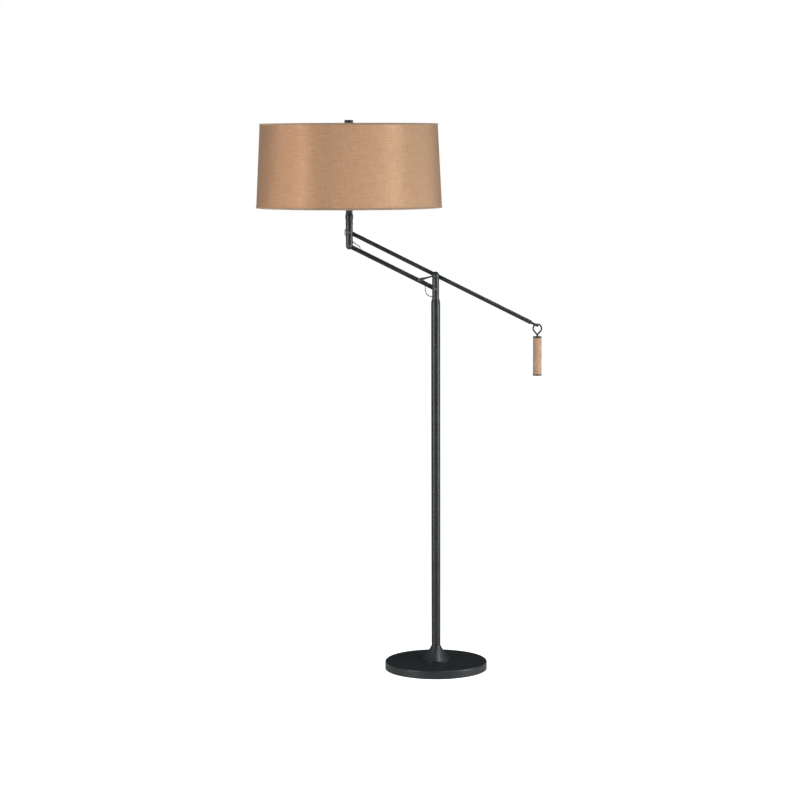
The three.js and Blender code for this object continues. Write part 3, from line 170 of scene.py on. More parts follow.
# ---------- materials ----------
class Shader:
    """One material's nodes. A value may be a number, a colour or another node's output."""

    def __init__(self, name, settings):
        self.material = bpy.data.materials.new(name)
        self.material.use_nodes = True
        self.tree = self.material.node_tree
        self.surface = self.tree.nodes["Principled BSDF"]
        for socket, value in settings.items():
            self.set(socket, value)

    def link(self, value, socket):
        if isinstance(value, bpy.types.NodeSocket):
            self.tree.links.new(value, socket)
        else:
            socket.default_value = value

    def set(self, socket, value):
        self.link(value, self.surface.inputs[socket])

    def add(self, kind, inputs, output=0, **properties):
        node = self.tree.nodes.new("ShaderNode" + kind)
        for name, value in properties.items():
            setattr(node, name, value)
        for key, value in inputs.items():
            self.link(value, node.inputs[key])
        return node.outputs[output]

    def place(self, stretch=(1, 1, 1)):
        """The place on the object, in metres, each axis multiplied by stretch."""
        return self.add("Mapping", {0: self.add("TexCoord", {}, output=3), 3: stretch})

    def cloth_place(self, stretch=(1, 1, 1)):
        """The place on the sheet as it was cut: round the piece, then along it, in metres."""
        return self.add("Mapping", {0: self.add("UVMap", {}, uv_map="sheet"), 3: stretch})

    def noise(self, place, scale, detail=3, roughness=0.55):
        inputs = {"Vector": place, "Scale": scale, "Detail": detail, "Roughness": roughness}
        return self.add("TexNoise", inputs)

    def math(self, operation, first, second=0.0):
        return self.add("Math", {0: first, 1: second}, operation=operation)

    def spread(self, value, low, high, to_low=0.0, to_high=1.0):
        return self.add("MapRange", {0: value, 1: low, 2: high, 3: to_low, 4: to_high})

    def plus(self, first, second):
        return self.math("ADD", first, second)

    def times(self, first, second):
        return self.math("MULTIPLY", first, second)

    def mix(self, share, first, second):
        return self.add("Mix", {0: share, 6: first, 7: second}, output=2, data_type="RGBA")

    def fade(self, value, low, high, first, second, most=1.0):
        """From the first colour to the second, by at most a share, as a value goes from low to high."""
        return self.mix(self.spread(value, low, high, 0, most), first, second)

    def bump(self, height, depth, strength=1.0):
        inputs = {"Strength": strength, "Distance": depth, "Height": height}
        self.set("Normal", self.add("Bump", inputs))


def shade_of(colour, times):
    return (*[min(1, channel * times) for channel in colour[:3]], 1)


def painted_steel():
    """Satin blue-black paint: a fine mottle, soft scuffs and a slightly orange-peeled film."""
    colour = (0.0165, 0.0215, 0.0235, 1)
    shader = Shader("blackened_steel", {"Specular IOR Level": 0.5})
    mottle = shader.noise(shader.place(), 45, 5, 0.6)
    scuffs = shader.noise(shader.place((1, 1, 0.25)), 380, 3, 0.65)
    tone = shader.fade(mottle, 0.35, 0.7, shade_of(colour, 0.82), shade_of(colour, 1.3))
    worn = shader.spread(shader.add("NewGeometry", {}, output=7), 0.58, 0.7, 0, 0.2)
    shader.set("Base Color", shader.mix(worn, tone, (0.075, 0.08, 0.085, 1)))
    cloudy = shader.spread(mottle, 0.3, 0.7, -0.03, 0.03)
    scuffed = shader.spread(scuffs, 0.3, 0.7, 0.35, 0.42)
    shader.set("Roughness", shader.plus(cloudy, scuffed))
    film = shader.noise(shader.place(), 900, 2, 0.5)
    shader.bump(shader.plus(film, shader.times(scuffs, 0.6)), 0.000015, 0.5)
    return shader.material


def bare_metal(name, colour, roughness, grain, stretch, depth=0.00004, tarnish=0.3):
    """Metal with a directional grain and cloudy tarnish."""
    shader = Shader(name, {"Metallic": 1.0})
    lines = shader.noise(shader.place(stretch), grain, 4, 0.6)
    cloud = shader.noise(shader.place(), 60, 4, 0.6)
    tone = shader.fade(lines, 0.3, 0.7, shade_of(colour, 0.8), shade_of(colour, 1.15))
    dull = shader.spread(cloud, 0.45, 0.75, 0, tarnish)
    shader.set("Base Color", shader.mix(dull, tone, shade_of(colour, 0.45)))
    uneven_by = shader.plus(lines, cloud)
    shader.set("Roughness", shader.spread(uneven_by, 0.6, 1.4, roughness - 0.08, roughness + 0.12))
    shader.bump(lines, depth, 0.6)
    return shader.material


def cast_iron():
    shader = Shader("cast_iron", {"Metallic": 0.6})
    sand = shader.noise(shader.place(), 700, 5, 0.7)
    rust = shader.noise(shader.place(), 35, 5, 0.6)
    tone = shader.fade(sand, 0.3, 0.7, (0.035, 0.034, 0.033, 1), (0.1, 0.096, 0.09, 1))
    shader.set("Base Color", shader.fade(rust, 0.55, 0.8, tone, (0.11, 0.045, 0.02, 1), 0.5))
    shader.set("Roughness", shader.spread(sand, 0.3, 0.7, 0.7, 0.95))
    shader.bump(sand, 0.0006)
    return shader.material


def moulded(name, colour, roughness, mottle=0.25, grain=500, depth=0.00005):
    """Moulded rubber or plastic, or pressed card, by its colour, gloss and grain."""
    shader = Shader(name, {})
    fine = shader.noise(shader.place(), grain, 4, 0.6)
    cloud = shader.noise(shader.place(), 40, 3, 0.5)
    tone = shader.fade(cloud, 0.3, 0.7, shade_of(colour, 1 - mottle), shade_of(colour, 1 + mottle))
    shader.set("Base Color", shader.fade(fine, 0.45, 0.8, tone, shade_of(colour, 1.5), 0.4))
    shader.set("Roughness", shader.spread(fine, 0.3, 0.7, roughness - 0.06, roughness + 0.08))
    shader.bump(fine, depth, 0.7)
    return shader.material


TWIST_PITCH = 7 * MM
TWIST_ROUND = 9.1 * MM


def lead_jacket():
    """A clear jacket over two silvery twisted cores."""
    shader = Shader("lead", {"Coat Weight": 0.9, "Coat Roughness": 0.08, "IOR": 1.5})
    round_by, along = sheet_parts(shader)
    turn = shader.plus(shader.times(along, 1 / TWIST_PITCH), shader.times(round_by, 1 / TWIST_ROUND))
    wave = shader.math("SINE", shader.times(turn, 2 * math.pi))
    strands = shader.math("SINE", shader.times(turn, 16 * math.pi))
    core = shader.spread(wave, -0.6, 0.4)
    silver = shader.fade(strands, -1, 1, (0.3, 0.3, 0.29, 1), (0.55, 0.54, 0.52, 1))
    shader.set("Base Color", shader.mix(core, (0.22, 0.225, 0.225, 1), silver))
    shader.set("Metallic", shader.spread(core, 0, 1, 0.3, 0.55))
    shader.set("Roughness", shader.spread(strands, -1, 1, 0.25, 0.4))
    shader.bump(wave, 0.00015, 0.5)
    return shader.material


def sheet_parts(shader):
    """The two measures of the sheet's place, in metres: round the piece and along it."""
    place = shader.add("UVMap", {}, uv_map="sheet")
    return shader.add("SeparateXYZ", {0: place}), shader.add("SeparateXYZ", {0: place}, output=1)


def weave(shader, pitch, wander=0.35):
    """The height of a plain weave, with uneven threads, from 0 in the gaps to 1."""
    round_by, along = sheet_parts(shader)
    shifts = []
    for stretch in ((40, 900, 1), (900, 40, 1)):
        drift = shader.noise(shader.cloth_place(stretch), 1, 2)
        shifts.append(shader.spread(drift, 0, 1, -wander, wander))
    across = shader.plus(shader.math("DIVIDE", round_by, pitch), shifts[1])
    up = shader.plus(shader.math("DIVIDE", along, pitch), shifts[0])
    cells = shader.plus(shader.math("FLOOR", across), shader.math("FLOOR", up))
    warp_over = shader.math("PINGPONG", cells, 1)
    warp = shader.math("ABSOLUTE", shader.math("SINE", shader.times(across, math.pi)))
    weft = shader.math("ABSOLUTE", shader.math("SINE", shader.times(up, math.pi)))
    over = shader.times(warp, warp_over)
    under = shader.times(weft, shader.math("SUBTRACT", 1.0, warp_over))
    return shader.plus(over, under)


def linen():
    """Coarse tan linen: uneven threads with painted shade in their gaps, slubs both ways, and painted light round
    it, darker and more orange on the left and lighter on the right.
    """
    shader = Shader("linen", {"Sheen Weight": 0.5, "Sheen Roughness": 0.45, "Metallic": 0.42})
    shader.set("Sheen Tint", (1, 0.86, 0.7, 1))
    shader.set("Specular Tint", (1, 0.74, 0.55, 1))
    threads = weave(shader, 1.15 * MM)
    weft_slubs = shader.noise(shader.cloth_place((26, 420, 1)), 1, 4, 0.65)
    warp_slubs = shader.noise(shader.cloth_place((420, 22, 1)), 1, 4, 0.65)
    rim = span("shade_trim_bottom", HEAD, Z)[3]
    turn = shader.times(sheet_parts(shader)[0], 1 / rim)
    # Painted light and shade round the shade: darker and more orange on the left, lighter on the right.
    painted_light_side = shader.math("COSINE", turn)
    patches = shader.noise(shader.cloth_place((14, 9, 1)), 1, 4, 0.6)
    painted_shaded_left = (0.58, 0.31, 0.168, 1)
    painted_lit_right = (0.62, 0.39, 0.235, 1)
    tone = shader.fade(painted_light_side, -0.9, 0.9, painted_shaded_left, painted_lit_right)
    tone = shader.fade(weft_slubs, 0.48, 0.72, tone, (0.74, 0.5, 0.33, 1), 0.5)
    tone = shader.fade(weft_slubs, 0.48, 0.28, tone, (0.36, 0.18, 0.09, 1), 0.42)
    tone = shader.fade(warp_slubs, 0.5, 0.74, tone, (0.74, 0.49, 0.31, 1), 0.42)
    tone = shader.fade(warp_slubs, 0.48, 0.28, tone, (0.37, 0.19, 0.1, 1), 0.34)
    tone = shader.fade(patches, 0.35, 0.65, tone, (0.62, 0.37, 0.24, 1), 0.18)
    # Painted shade: darker in the gaps between the threads.
    tone = shader.fade(threads, 0.5, 0.05, tone, (0.25, 0.125, 0.062, 1), 0.55)
    shader.set("Base Color", tone)
    shader.set("Roughness", shader.spread(threads, 0, 1, 0.52, 0.34))
    slubs = shader.plus(weft_slubs, warp_slubs)
    height = shader.plus(threads, shader.times(slubs, 0.8))
    shader.bump(height, 0.0003, 0.7)
    return shader.material


def trim_tape():
    """The finer, greyer tape folded over the shade's rims."""
    shader = Shader("shade_trim", {"Sheen Weight": 0.2, "Specular IOR Level": 0.3})
    threads = weave(shader, 0.6 * MM, 0.2)
    cloud = shader.noise(shader.cloth_place((60, 300, 1)), 1, 3, 0.6)
    tone = shader.fade(cloud, 0.3, 0.7, (0.37, 0.26, 0.175, 1), (0.5, 0.37, 0.26, 1))
    # Painted shade: darker in the gaps between the threads.
    shader.set("Base Color", shader.fade(threads, 0.4, 0, tone, (0.22, 0.15, 0.1, 1), 0.5))
    shader.set("Roughness", shader.spread(threads, 0, 1, 0.95, 0.8))
    shader.bump(threads, 0.00025, 0.8)
    return shader.material


def shade_lining():
    """Off-white sheet with the cloth behind it showing through a little."""
    shader = Shader("shade_liner", {"Specular IOR Level": 0.35})
    threads = weave(shader, 1.15 * MM)
    cloud = shader.noise(shader.cloth_place((12, 12, 1)), 1, 4, 0.6)
    tone = shader.fade(cloud, 0.3, 0.7, (0.7, 0.655, 0.58, 1), (0.8, 0.77, 0.71, 1))
    shader.set("Base Color", shader.fade(threads, 0.6, 0, tone, (0.6, 0.5, 0.39, 1), 0.3))
    shader.set("Roughness", shader.spread(cloud, 0.3, 0.7, 0.5, 0.65))
    shader.bump(threads, 0.00008, 0.5)
    return shader.material


def leather():
    """Tan leather: pebbled grain and stretch lines along it."""
    shader = Shader("leather", {"Specular IOR Level": 0.45, "Coat Weight": 0.08, "Coat Roughness": 0.4})
    cells = {"Vector": shader.place(), "Scale": 1100}
    pebbles = shader.add("TexVoronoi", cells, feature="DISTANCE_TO_EDGE")
    creases = shader.noise(shader.cloth_place((900, 45, 1)), 1, 4, 0.6)
    cloud = shader.noise(shader.cloth_place((60, 25, 1)), 1, 4, 0.6)
    tone = shader.fade(cloud, 0.3, 0.7, (0.44, 0.255, 0.15, 1), (0.6, 0.385, 0.25, 1))
    tone = shader.fade(creases, 0.5, 0.75, tone, (0.66, 0.46, 0.32, 1), 0.5)
    tone = shader.fade(creases, 0.48, 0.3, tone, (0.3, 0.17, 0.1, 1), 0.45)
    # Painted shade: darker in the grooves between the pebbles.
    shader.set("Base Color", shader.fade(pebbles, 0.12, 0, tone, (0.24, 0.13, 0.075, 1), 0.5))
    shader.set("Roughness", shader.spread(creases, 0.3, 0.7, 0.45, 0.62))
    height = shader.plus(shader.spread(pebbles, 0, 0.25), shader.times(creases, 0.8))
    shader.bump(height, 0.00016, 0.8)
    return shader.material


def thread():
    """Waxed stitching thread with a twist."""
    shader = Shader("thread", {"Sheen Weight": 0.3, "Specular IOR Level": 0.4})
    twist = shader.noise(shader.place((1, 1, 3)), 2600, 2, 0.5)
    shader.set("Base Color", shader.fade(twist, 0.3, 0.7, (0.36, 0.23, 0.13, 1), (0.6, 0.44, 0.29, 1)))
    shader.set("Roughness", shader.spread(twist, 0.3, 0.7, 0.5, 0.75))
    shader.bump(twist, 0.0001)
    return shader.material


def felt():
    shader = Shader("felt", {"Sheen Weight": 0.5, "Sheen Roughness": 0.6, "Specular IOR Level": 0.1})
    fuzz = shader.noise(shader.place(), 1500, 5, 0.75)
    clumps = shader.noise(shader.place(), 160, 4, 0.6)
    tone = shader.fade(fuzz, 0.3, 0.7, (0.006, 0.006, 0.007, 1), (0.028, 0.028, 0.03, 1))
    shader.set("Base Color", shader.fade(clumps, 0.4, 0.8, tone, (0.05, 0.05, 0.052, 1), 0.4))
    shader.set("Roughness", shader.spread(fuzz, 0, 1, 0.9, 1))
    shader.bump(shader.plus(fuzz, clumps), 0.0005)
    return shader.material


def frosted_glass():
    shader = Shader("bulb_glass", {"Transmission Weight": 0.45, "IOR": 1.5, "Subsurface Weight": 0.1})
    frost = shader.noise(shader.place(), 1400, 3, 0.6)
    cloud = shader.noise(shader.place(), 50, 3, 0.5)
    shader.set("Base Color", shader.fade(cloud, 0.3, 0.7, (0.86, 0.85, 0.82, 1), (0.93, 0.92, 0.9, 1)))
    shader.set("Roughness", shader.spread(frost, 0.3, 0.7, 0.34, 0.46))
    shader.bump(frost, 0.00002, 0.5)
    return shader.material


def make_materials():
    along = (1, 1, 0.04)
    about = (0.08, 1, 1)
    return {
        "blackened_steel": painted_steel(),
        "gunmetal": bare_metal("gunmetal", (0.2, 0.205, 0.21), 0.4, 500, about),
        "cast_iron": cast_iron(),
        "zinc_plate": bare_metal("zinc_plate", (0.55, 0.56, 0.57), 0.34, 420, along),
        "harp_plate": bare_metal("harp_plate", (0.58, 0.57, 0.55), 0.24, 500, along),
        "brass": bare_metal("brass", (0.6, 0.42, 0.17), 0.28, 520, along),
        "felt": felt(),
        "rubber": moulded("rubber", (0.016, 0.016, 0.016), 0.72),
        "phenolic": moulded("phenolic", (0.017, 0.0135, 0.012), 0.38),
        "card": moulded("card", (0.29, 0.19, 0.11), 0.85, grain=900, depth=0.0001),
        "lead": lead_jacket(),
        "bulb_glass": frosted_glass(),
        "linen": linen(),
        "shade_liner": shade_lining(),
        "shade_trim": trim_tape(),
        "white_wire": moulded("white_wire", (0.72, 0.71, 0.67), 0.36, 0.06, 700, 0.00004),
        "leather": leather(),
    }


# ---------- shapes ----------
def span(node, origin, axis):
    """Where a node starts and ends along an axis, and its least and greatest radius about it."""
    along = []
    away = []
    for vertex in NODES[node].data.vertices:
        offset = vertex.co - origin
        height = offset.dot(axis)
        along.append(height)
        away.append((offset - axis * height).length)
    return min(along), max(along), min(away), max(away)


def corner(before, at, after, size, steps):
    """A corner of an outline as a short curve."""
    into = (before - at)
    out = (after - at)
    reach = min(size, 0.48 * into.length, 0.48 * out.length)
    start = at + into.normalized() * reach
    end = at + out.normalized() * reach
    points = []
    for step in range(steps + 1):
        t = step / steps
        points.append(start * (1 - t) ** 2 + at * (2 * t * (1 - t)) + end * t ** 2)
    return points


def rounded(profile, size, closed=True, steps=4, least=0.35):
    """An outline of [radius, height] with each sharp corner rounded."""
    points = [Vector(point) for point in profile]
    smooth = []
    for index, at in enumerate(points):
        before = points[index - 1]
        after = points[(index + 1) % len(points)]
        ends = not closed and index in (0, len(points) - 1)
        if ends or (at - before).angle(after - at, 0) < least:
            smooth.append(at)
        else:
            smooth.extend(corner(before, at, after, size, steps))
    return smooth


def bezier(start, handle_a, handle_b, end, steps):
    points = []
    for step in range(steps + 1):
        t = step / steps
        u = 1 - t
        point = Vector(start) * u ** 3 + Vector(handle_a) * (3 * u * u * t)
        points.append(point + Vector(handle_b) * (3 * u * t * t) + Vector(end) * t ** 3)
    return points


def arc(centre, radius, start, end, steps):
    """Points of an arc in an outline, between two angles in degrees."""
    points = []
    for step in range(steps + 1):
        angle = math.radians(start + (end - start) * step / steps)
        points.append(Vector(centre) + radius * Vector((math.cos(angle), math.sin(angle))))
    return points


def new_object(name, mesh):
    made = bpy.data.objects.new(name, mesh)
    bpy.context.scene.collection.objects.link(made)
    return made


def mesh_of(name, points, faces, sheet=None):
    """A mesh from points and faces. Sheet holds each face corner's place on the flat sheet."""
    mesh = bpy.data.meshes.new(name)
    mesh.from_pydata([tuple(point) for point in points], [], faces)
    if sheet:
        layer = mesh.uv_layers.new(name="sheet")
        for index, place in enumerate(sheet):
            layer.data[index].uv = place
    mesh.validate()
    return mesh


def smooth(made, angle=38):
    made.data.shade_smooth()
    made.data.set_sharp_from_angle(angle=math.radians(angle))
    return made


def lathe(name, profile, origin=ORIGIN, axis=Z, sides=96, closed=True, shift=None):
    """A turned mesh. An outline that isn't closed starts and ends on the axis, and runs up the outside.
    shift, if given, moves a point out by a small way that depends on its angle and height."""
    turn = Z.rotation_difference(axis).to_matrix()
    widest = max(point[0] for point in profile)
    points = []
    rings = []
    lengths = [0.0]
    for before, after in zip(profile, [*profile[1:], profile[0]]):
        lengths.append(lengths[-1] + (Vector(after) - Vector(before)).length)
    for radius, height in profile:
        if radius < 1e-7:
            rings.append([len(points)] * sides)
            points.append(turn @ Vector((0, 0, height)) + origin)
            continue
        rings.append(list(range(len(points), len(points) + sides)))
        for side in range(sides):
            angle = 2 * math.pi * side / sides
            out = radius + (shift(angle, height) if shift else 0)
            points.append(turn @ Vector((out * math.cos(angle), out * math.sin(angle), height)) + origin)
    faces = []
    sheet = []
    count = len(rings) if closed else len(rings) - 1
    for row in range(count):
        low = rings[row]
        high = rings[(row + 1) % len(rings)]
        for side in range(sides):
            ahead = (side + 1) % sides
            corners = [(low[side], side, row), (low[ahead], side + 1, row)]
            corners += [(high[ahead], side + 1, row + 1), (high[side], side, row + 1)]
            kept = []
            for point in corners:
                if point[0] not in [other[0] for other in kept]:
                    kept.append(point)
            faces.append([point[0] for point in kept])
            sheet += [(2 * math.pi * widest * at / sides, lengths[up]) for _, at, up in kept]
    return smooth(new_object(name, mesh_of(name, points, faces, sheet)))


def sweep(name, line, radius, sides=20):
    """A round rod along a line that lies in the XZ plane."""
    points = []
    faces = []
    sheet = []
    run = [0.0]
    for before, after in zip(line, line[1:]):
        run.append(run[-1] + (after - before).length)
    for index, place in enumerate(line):
        ahead = line[min(index + 1, len(line) - 1)] - line[max(index - 1, 0)]
        across = ahead.normalized().cross(Y)
        for side in range(sides):
            angle = 2 * math.pi * side / sides
            points.append(place + radius * (math.cos(angle) * across + math.sin(angle) * Y))
    for index in range(len(line) - 1):
        for side in range(sides):
            ahead = (side + 1) % sides
            base = index * sides
            faces.append([base + side, base + sides + side, base + sides + ahead, base + ahead])
            for at, row in ((side, index), (side, index + 1), (side + 1, index + 1), (side + 1, index)):
                sheet.append((2 * math.pi * radius * at / sides, run[row]))
    last = (len(line) - 1) * sides
    faces.append(list(range(sides)))
    faces.append(list(range(last + sides - 1, last - 1, -1)))
    sheet += [(0, 0)] * sides + [(0, run[-1])] * sides
    made = new_object(name, mesh_of(name, points, faces, sheet))
    fix_normals(made)
    return smooth(made, 50)


def fix_normals(made):
    builder = bmesh.new()
    builder.from_mesh(made.data)
    bmesh.ops.recalc_face_normals(builder, faces=builder.faces)
    builder.to_mesh(made.data)
    builder.free()


def through(points, steps):
    """A smooth line through points: a centripetal Catmull-Rom curve."""
    points = [Vector(point) for point in points]
    ends = [2 * points[0] - points[1], *points, 2 * points[-1] - points[-2]]
    line = []
    for a, b, c, d in zip(ends, ends[1:], ends[2:], ends[3:]):
        t1 = (b - a).length ** 0.5
        t2 = t1 + (c - b).length ** 0.5
        t3 = t2 + (d - c).length ** 0.5
        for step in range(steps):
            t = t1 + (t2 - t1) * step / steps
            ab = a.lerp(b, t / t1)
            bc = b.lerp(c, (t - t1) / (t2 - t1))
            cd = c.lerp(d, (t - t2) / (t3 - t2))
            abc = ab.lerp(bc, t / t2)
            bcd = bc.lerp(cd, (t - t1) / (t3 - t1))
            line.append(abc.lerp(bcd, (t - t1) / (t2 - t1)))
    return [*line, points[-1]]


def block(low, high):
    """A box as a cutting tool."""
    mesh = bpy.data.meshes.new("block")
    builder = bmesh.new()
    bmesh.ops.create_cube(builder, size=1)
    middle = (Vector(low) + Vector(high)) / 2
    size = Vector(high) - Vector(low)
    for vertex in builder.verts:
        vertex.co = middle + Vector([a * b for a, b in zip(vertex.co, size)])
    builder.to_mesh(mesh)
    builder.free()
    return new_object("block", mesh)


def rod(radius, origin, axis, low, high, sides=48):
    """A plain rod as a tool or a part to join."""
    outline = [(0, low), (radius, low), (radius, high), (0, high)]
    return lathe("rod", outline, origin, axis, sides, closed=False)


def combine(made, others, operation):
    """Cuts others out of an object, or joins them to it."""
    for other in others:
        modifier = made.modifiers.new("combine", "BOOLEAN")
        modifier.object = other
        modifier.operation = operation
        modifier.solver = "EXACT"
        modifier.use_self = True
    graph = bpy.context.evaluated_depsgraph_get()
    mesh = bpy.data.meshes.new_from_object(made.evaluated_get(graph))
    made.modifiers.clear()
    made.data = mesh
    for other in others:
        bpy.data.objects.remove(other)
    return smooth(made)


def cut(made, *tools):
    return combine(made, tools, "DIFFERENCE")


def join(made, *parts):
    return combine(made, parts, "UNION")


def ease_edges(made, width=0.3 * MM, angle=42):
    """Breaks an object's sharp edges."""
    modifier = made.modifiers.new("edges", "BEVEL")
    modifier.width = width
    modifier.segments = 2
    modifier.limit_method = "ANGLE"
    modifier.angle_limit = math.radians(angle)
    return made


def use(made, node, material=None):
    """Puts a made piece in place of a CAD node: its body, and the material of the node's slot."""
    slot = SLOT_OF[node]
    made.modifiers.new("shading", "WEIGHTED_NORMAL").keep_sharp = True
    made.data.materials.clear()
    made.data.materials.append(material or MATERIALS[slot])
    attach(made, BODY_OF[node])
    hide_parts(node)
    return made


def fine(node):
    return node + ".fine"


def turned(node, profile, origin=ORIGIN, axis=Z, **settings):
    return use(lathe(fine(node), profile, origin, axis, **settings), node)


def tube(node, origin=ORIGIN, axis=Z, edge=0.35 * MM, sides=72):
    """A node that is a plain tube or sleeve, with eased ends."""
    low, high, inner, outer = span(node, origin, axis)
    profile = rounded([(outer, low), (outer, high), (inner, high), (inner, low)], edge)
    return turned(node, profile, origin, axis, sides=sides)


# ---------- base ----------
COVER_EDGE = 4 * MM
COVER_WALL = 1.5 * MM
FLARE_LIP = 2.6 * MM
FLARE_OUT = (0.34, 0.27)
FLARE_IN = (0.21, 0.3)


def make_base_cover():
    low, high, bore, outer = span("base_cover", ORIGIN, Z)
    edge = (outer - COVER_EDGE, high - COVER_EDGE)
    profile = [
        (outer, low),
        *arc(edge, COVER_EDGE, 0, 90, 14),
        (bore, high),
        (bore, high - COVER_WALL),
        *arc(edge, COVER_EDGE - COVER_WALL, 90, 0, 8),
        (outer - COVER_WALL, low),
    ]
    cover = lathe(fine("base_cover"), profile, sides=240)
    grommet_low, grommet_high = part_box("cord_grommet")
    hole_height = (grommet_low.z + grommet_high.z) / 2
    hole = rod(5.2 * MM, Vector((0, 0, hole_height)), Y, outer - 4 * MM, outer + 4 * MM)
    use(cut(cover, hole), "base_cover")


def make_base_flare():
    low, high, bore, outer = span("base_flare", ORIGIN, Z)
    neck = span("pole_lower_tube", ORIGIN, Z)[3]
    lip = low + FLARE_LIP
    rise = high - lip
    outline = bezier(
        (outer, lip),
        (outer - FLARE_OUT[0] * (outer - neck), lip + FLARE_OUT[1] * rise),
        (neck + FLARE_IN[0] * (outer - neck), high - FLARE_IN[1] * rise),
        (neck, high),
        28,
    )
    edge = 0.3 * MM
    foot = 6 * MM
    profile = [(outer - edge, low), (outer, low + edge), *outline]
    profile += [(bore, high), (bore, low + 0.6 * rise), (outer - foot, low)]
    turned("base_flare", profile, sides=128)


def make_grommet():
    centre = (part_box("cord_grommet")[0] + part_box("cord_grommet")[1]) / 2
    origin = Vector((0, 0, centre.z))
    low, high, bore, outer = span("cord_grommet", origin, Y)
    face = span("base_cover", ORIGIN, Z)[3] + 0.3 * MM
    neck = 4.9 * MM
    profile = [
        (outer - 0.6 * MM, low),
        (outer - 0.6 * MM, low + 1.5 * MM),
        (neck, low + 1.5 * MM),
        (neck, face),
        (outer, face),
        (outer, high),
        (bore, high),
        (bore, low),
    ]
    turned("cord_grommet", rounded(profile, 0.6 * MM), origin, Y, sides=48)


def make_felt():
    low, high, _, outer = span("felt_pad", ORIGIN, Z)
    profile = rounded([(0, low), (outer, low), (outer, high), (0, high)], 0.7 * MM, closed=False)

    def ragged(angle, height):
        return 0.25 * MM * noise.noise(Vector((30 * math.cos(angle), 30 * math.sin(angle), 900 * height)))

    turned("felt_pad", profile, sides=240, closed=False, shift=ragged)


def make_base():
    make_felt()
    make_base_cover()
    make_base_flare()
    make_grommet()


# ---------- pole and pivots ----------
FORK_SLOT_HALF = 3 * MM
PIN_HOLE = 2.8 * MM
BOLT_HOLE = 3.3 * MM
CONE = 16.4 * MM


def make_pole_fork():
    low, crown, _, outer = span("pole_fork", ORIGIN, Z)
    shoulder = span("pole_upper_tube", ORIGIN, Z)[1] + 0.3 * MM
    spigot = outer - 1.5 * MM
    fork = 10 * MM
    outline = [
        (0, low),
        (spigot, low),
        (spigot, shoulder),
        (outer, shoulder),
        (outer, shoulder + 0.8 * MM),
        *bezier(
            (outer, shoulder + 1 * MM),
            (outer, shoulder + 0.45 * CONE),
            (fork, shoulder + 0.5 * CONE),
            (fork, shoulder + CONE),
            12,
        ),
        *arc((0, crown - fork), fork, 0, 90, 16),
    ]
    made = lathe(fine("pole_fork"), outline, sides=80, closed=False)
    slot_floor = LINK.z - 28 * MM
    slot = block((-0.03, -FORK_SLOT_HALF, slot_floor), (0.03, FORK_SLOT_HALF, crown + 0.01))
    holes = [rod(BOLT_HOLE, ARM, Y, -0.03, 0.03), rod(PIN_HOLE, LINK, Y, -0.03, 0.03)]
    bore = rod(3.2 * MM, ORIGIN, Z, low - 0.01, slot_floor + 0.005)
    use(ease_edges(cut(made, slot, *holes, bore)), "pole_fork")


def make_head_fork():
    low, top, _, outer = span("head_fork", HEAD, Z)
    shoulder = span("head_collar", HEAD, Z)[0] - 0.3 * MM
    outline = [
        *arc((0, low + outer), outer, -90, 0, 16),
        (outer, shoulder - 0.8 * MM),
        (outer - 0.8 * MM, shoulder),
        (5 * MM, shoulder),
        (5 * MM, top),
        (0, top),
    ]
    made = lathe(fine("head_fork"), outline, HEAD, sides=80, closed=False)
    ceiling = HEAD_UPPER.z + 21 * MM
    x = HEAD.x
    slot = block((x - 0.03, -FORK_SLOT_HALF, low - 0.01), (x + 0.03, FORK_SLOT_HALF, ceiling))
    holes = [rod(PIN_HOLE, place, Y, -0.03, 0.03) for place in (HEAD_UPPER, HEAD_LOWER)]
    bore = rod(3.2 * MM, HEAD, Z, ceiling - 0.005, top + 0.01)
    use(ease_edges(cut(made, slot, *holes, bore)), "head_fork")


def make_pin(node, place):
    low, high, _, outer = span(node, place, Y)
    profile = [(0, low), (0.6 * outer, low), (outer, low + 0.7 * MM), (outer, high - 0.7 * MM)]
    profile += [(0.6 * outer, high), (0, high)]
    turned(node, rounded(profile, 0.3 * MM, closed=False), place, Y, sides=40, closed=False)


def make_pivot_nut():
    low, high, _, outer = span("arm_pivot_nut", ARM, Y)
    flat = low + 5 * MM
    outline = [(0, low), (outer, low), (outer, flat), (0, flat)]
    hexagon = lathe(fine("arm_pivot_nut"), outline, ARM, Y, 6, closed=False)
    collar = outer - 0.8 * MM
    outline = [(0, flat - 1 * MM), (collar, flat - 1 * MM), *bezier(
        (collar, flat + 0.8 * MM), (collar, high - 0.6 * MM), (0.6 * collar, high), (0, high), 12)]
    dome = lathe("dome", outline, ARM, Y, 48, closed=False)
    bore = rod(BOLT_HOLE, ARM, Y, low - 0.005, flat)
    nut = cut(join(hexagon, dome), bore)
    use(ease_edges(nut, 0.35 * MM, 30), "arm_pivot_nut")


def make_clamp_lever():
    back = span("clamp_lever", ARM, Y)[1]
    front = span("clamp_lever", ARM, Y)[0]
    hub_radius = 5.3 * MM
    cap = 3.5 * MM
    outline = [(0, front), (hub_radius, front), (hub_radius, back), (0, back)]
    hub = lathe(fine("clamp_lever"), rounded(outline, 1.2 * MM, closed=False), ARM, Y, 64, closed=False)
    tip = min((v.co for v in NODES["clamp_lever"].data.vertices), key=lambda point: point.x)
    middle = ARM + Y * (front + cap)
    droop = math.radians(15)
    axis = Vector((-math.cos(droop), 0, -math.sin(droop)))
    length = (tip - middle).dot(axis)
    thin = 2.4 * MM
    thick = 4.15 * MM
    outline = [
        (0, 0),
        (thin, 0),
        *bezier(
            (thin, 15 * MM),
            (thin, 26 * MM),
            (thick - 0.9 * MM, 30 * MM),
            (thick, length - 9 * MM),
            14,
        ),
        *arc((0, length - thick), thick, 0, 90, 10),
    ]
    handle = lathe("handle", outline, middle, axis, 48, closed=False)
    bore = rod(BOLT_HOLE, ARM, Y, back - 5 * MM, back + 5 * MM)
    use(cut(join(hub, handle), bore), "clamp_lever")


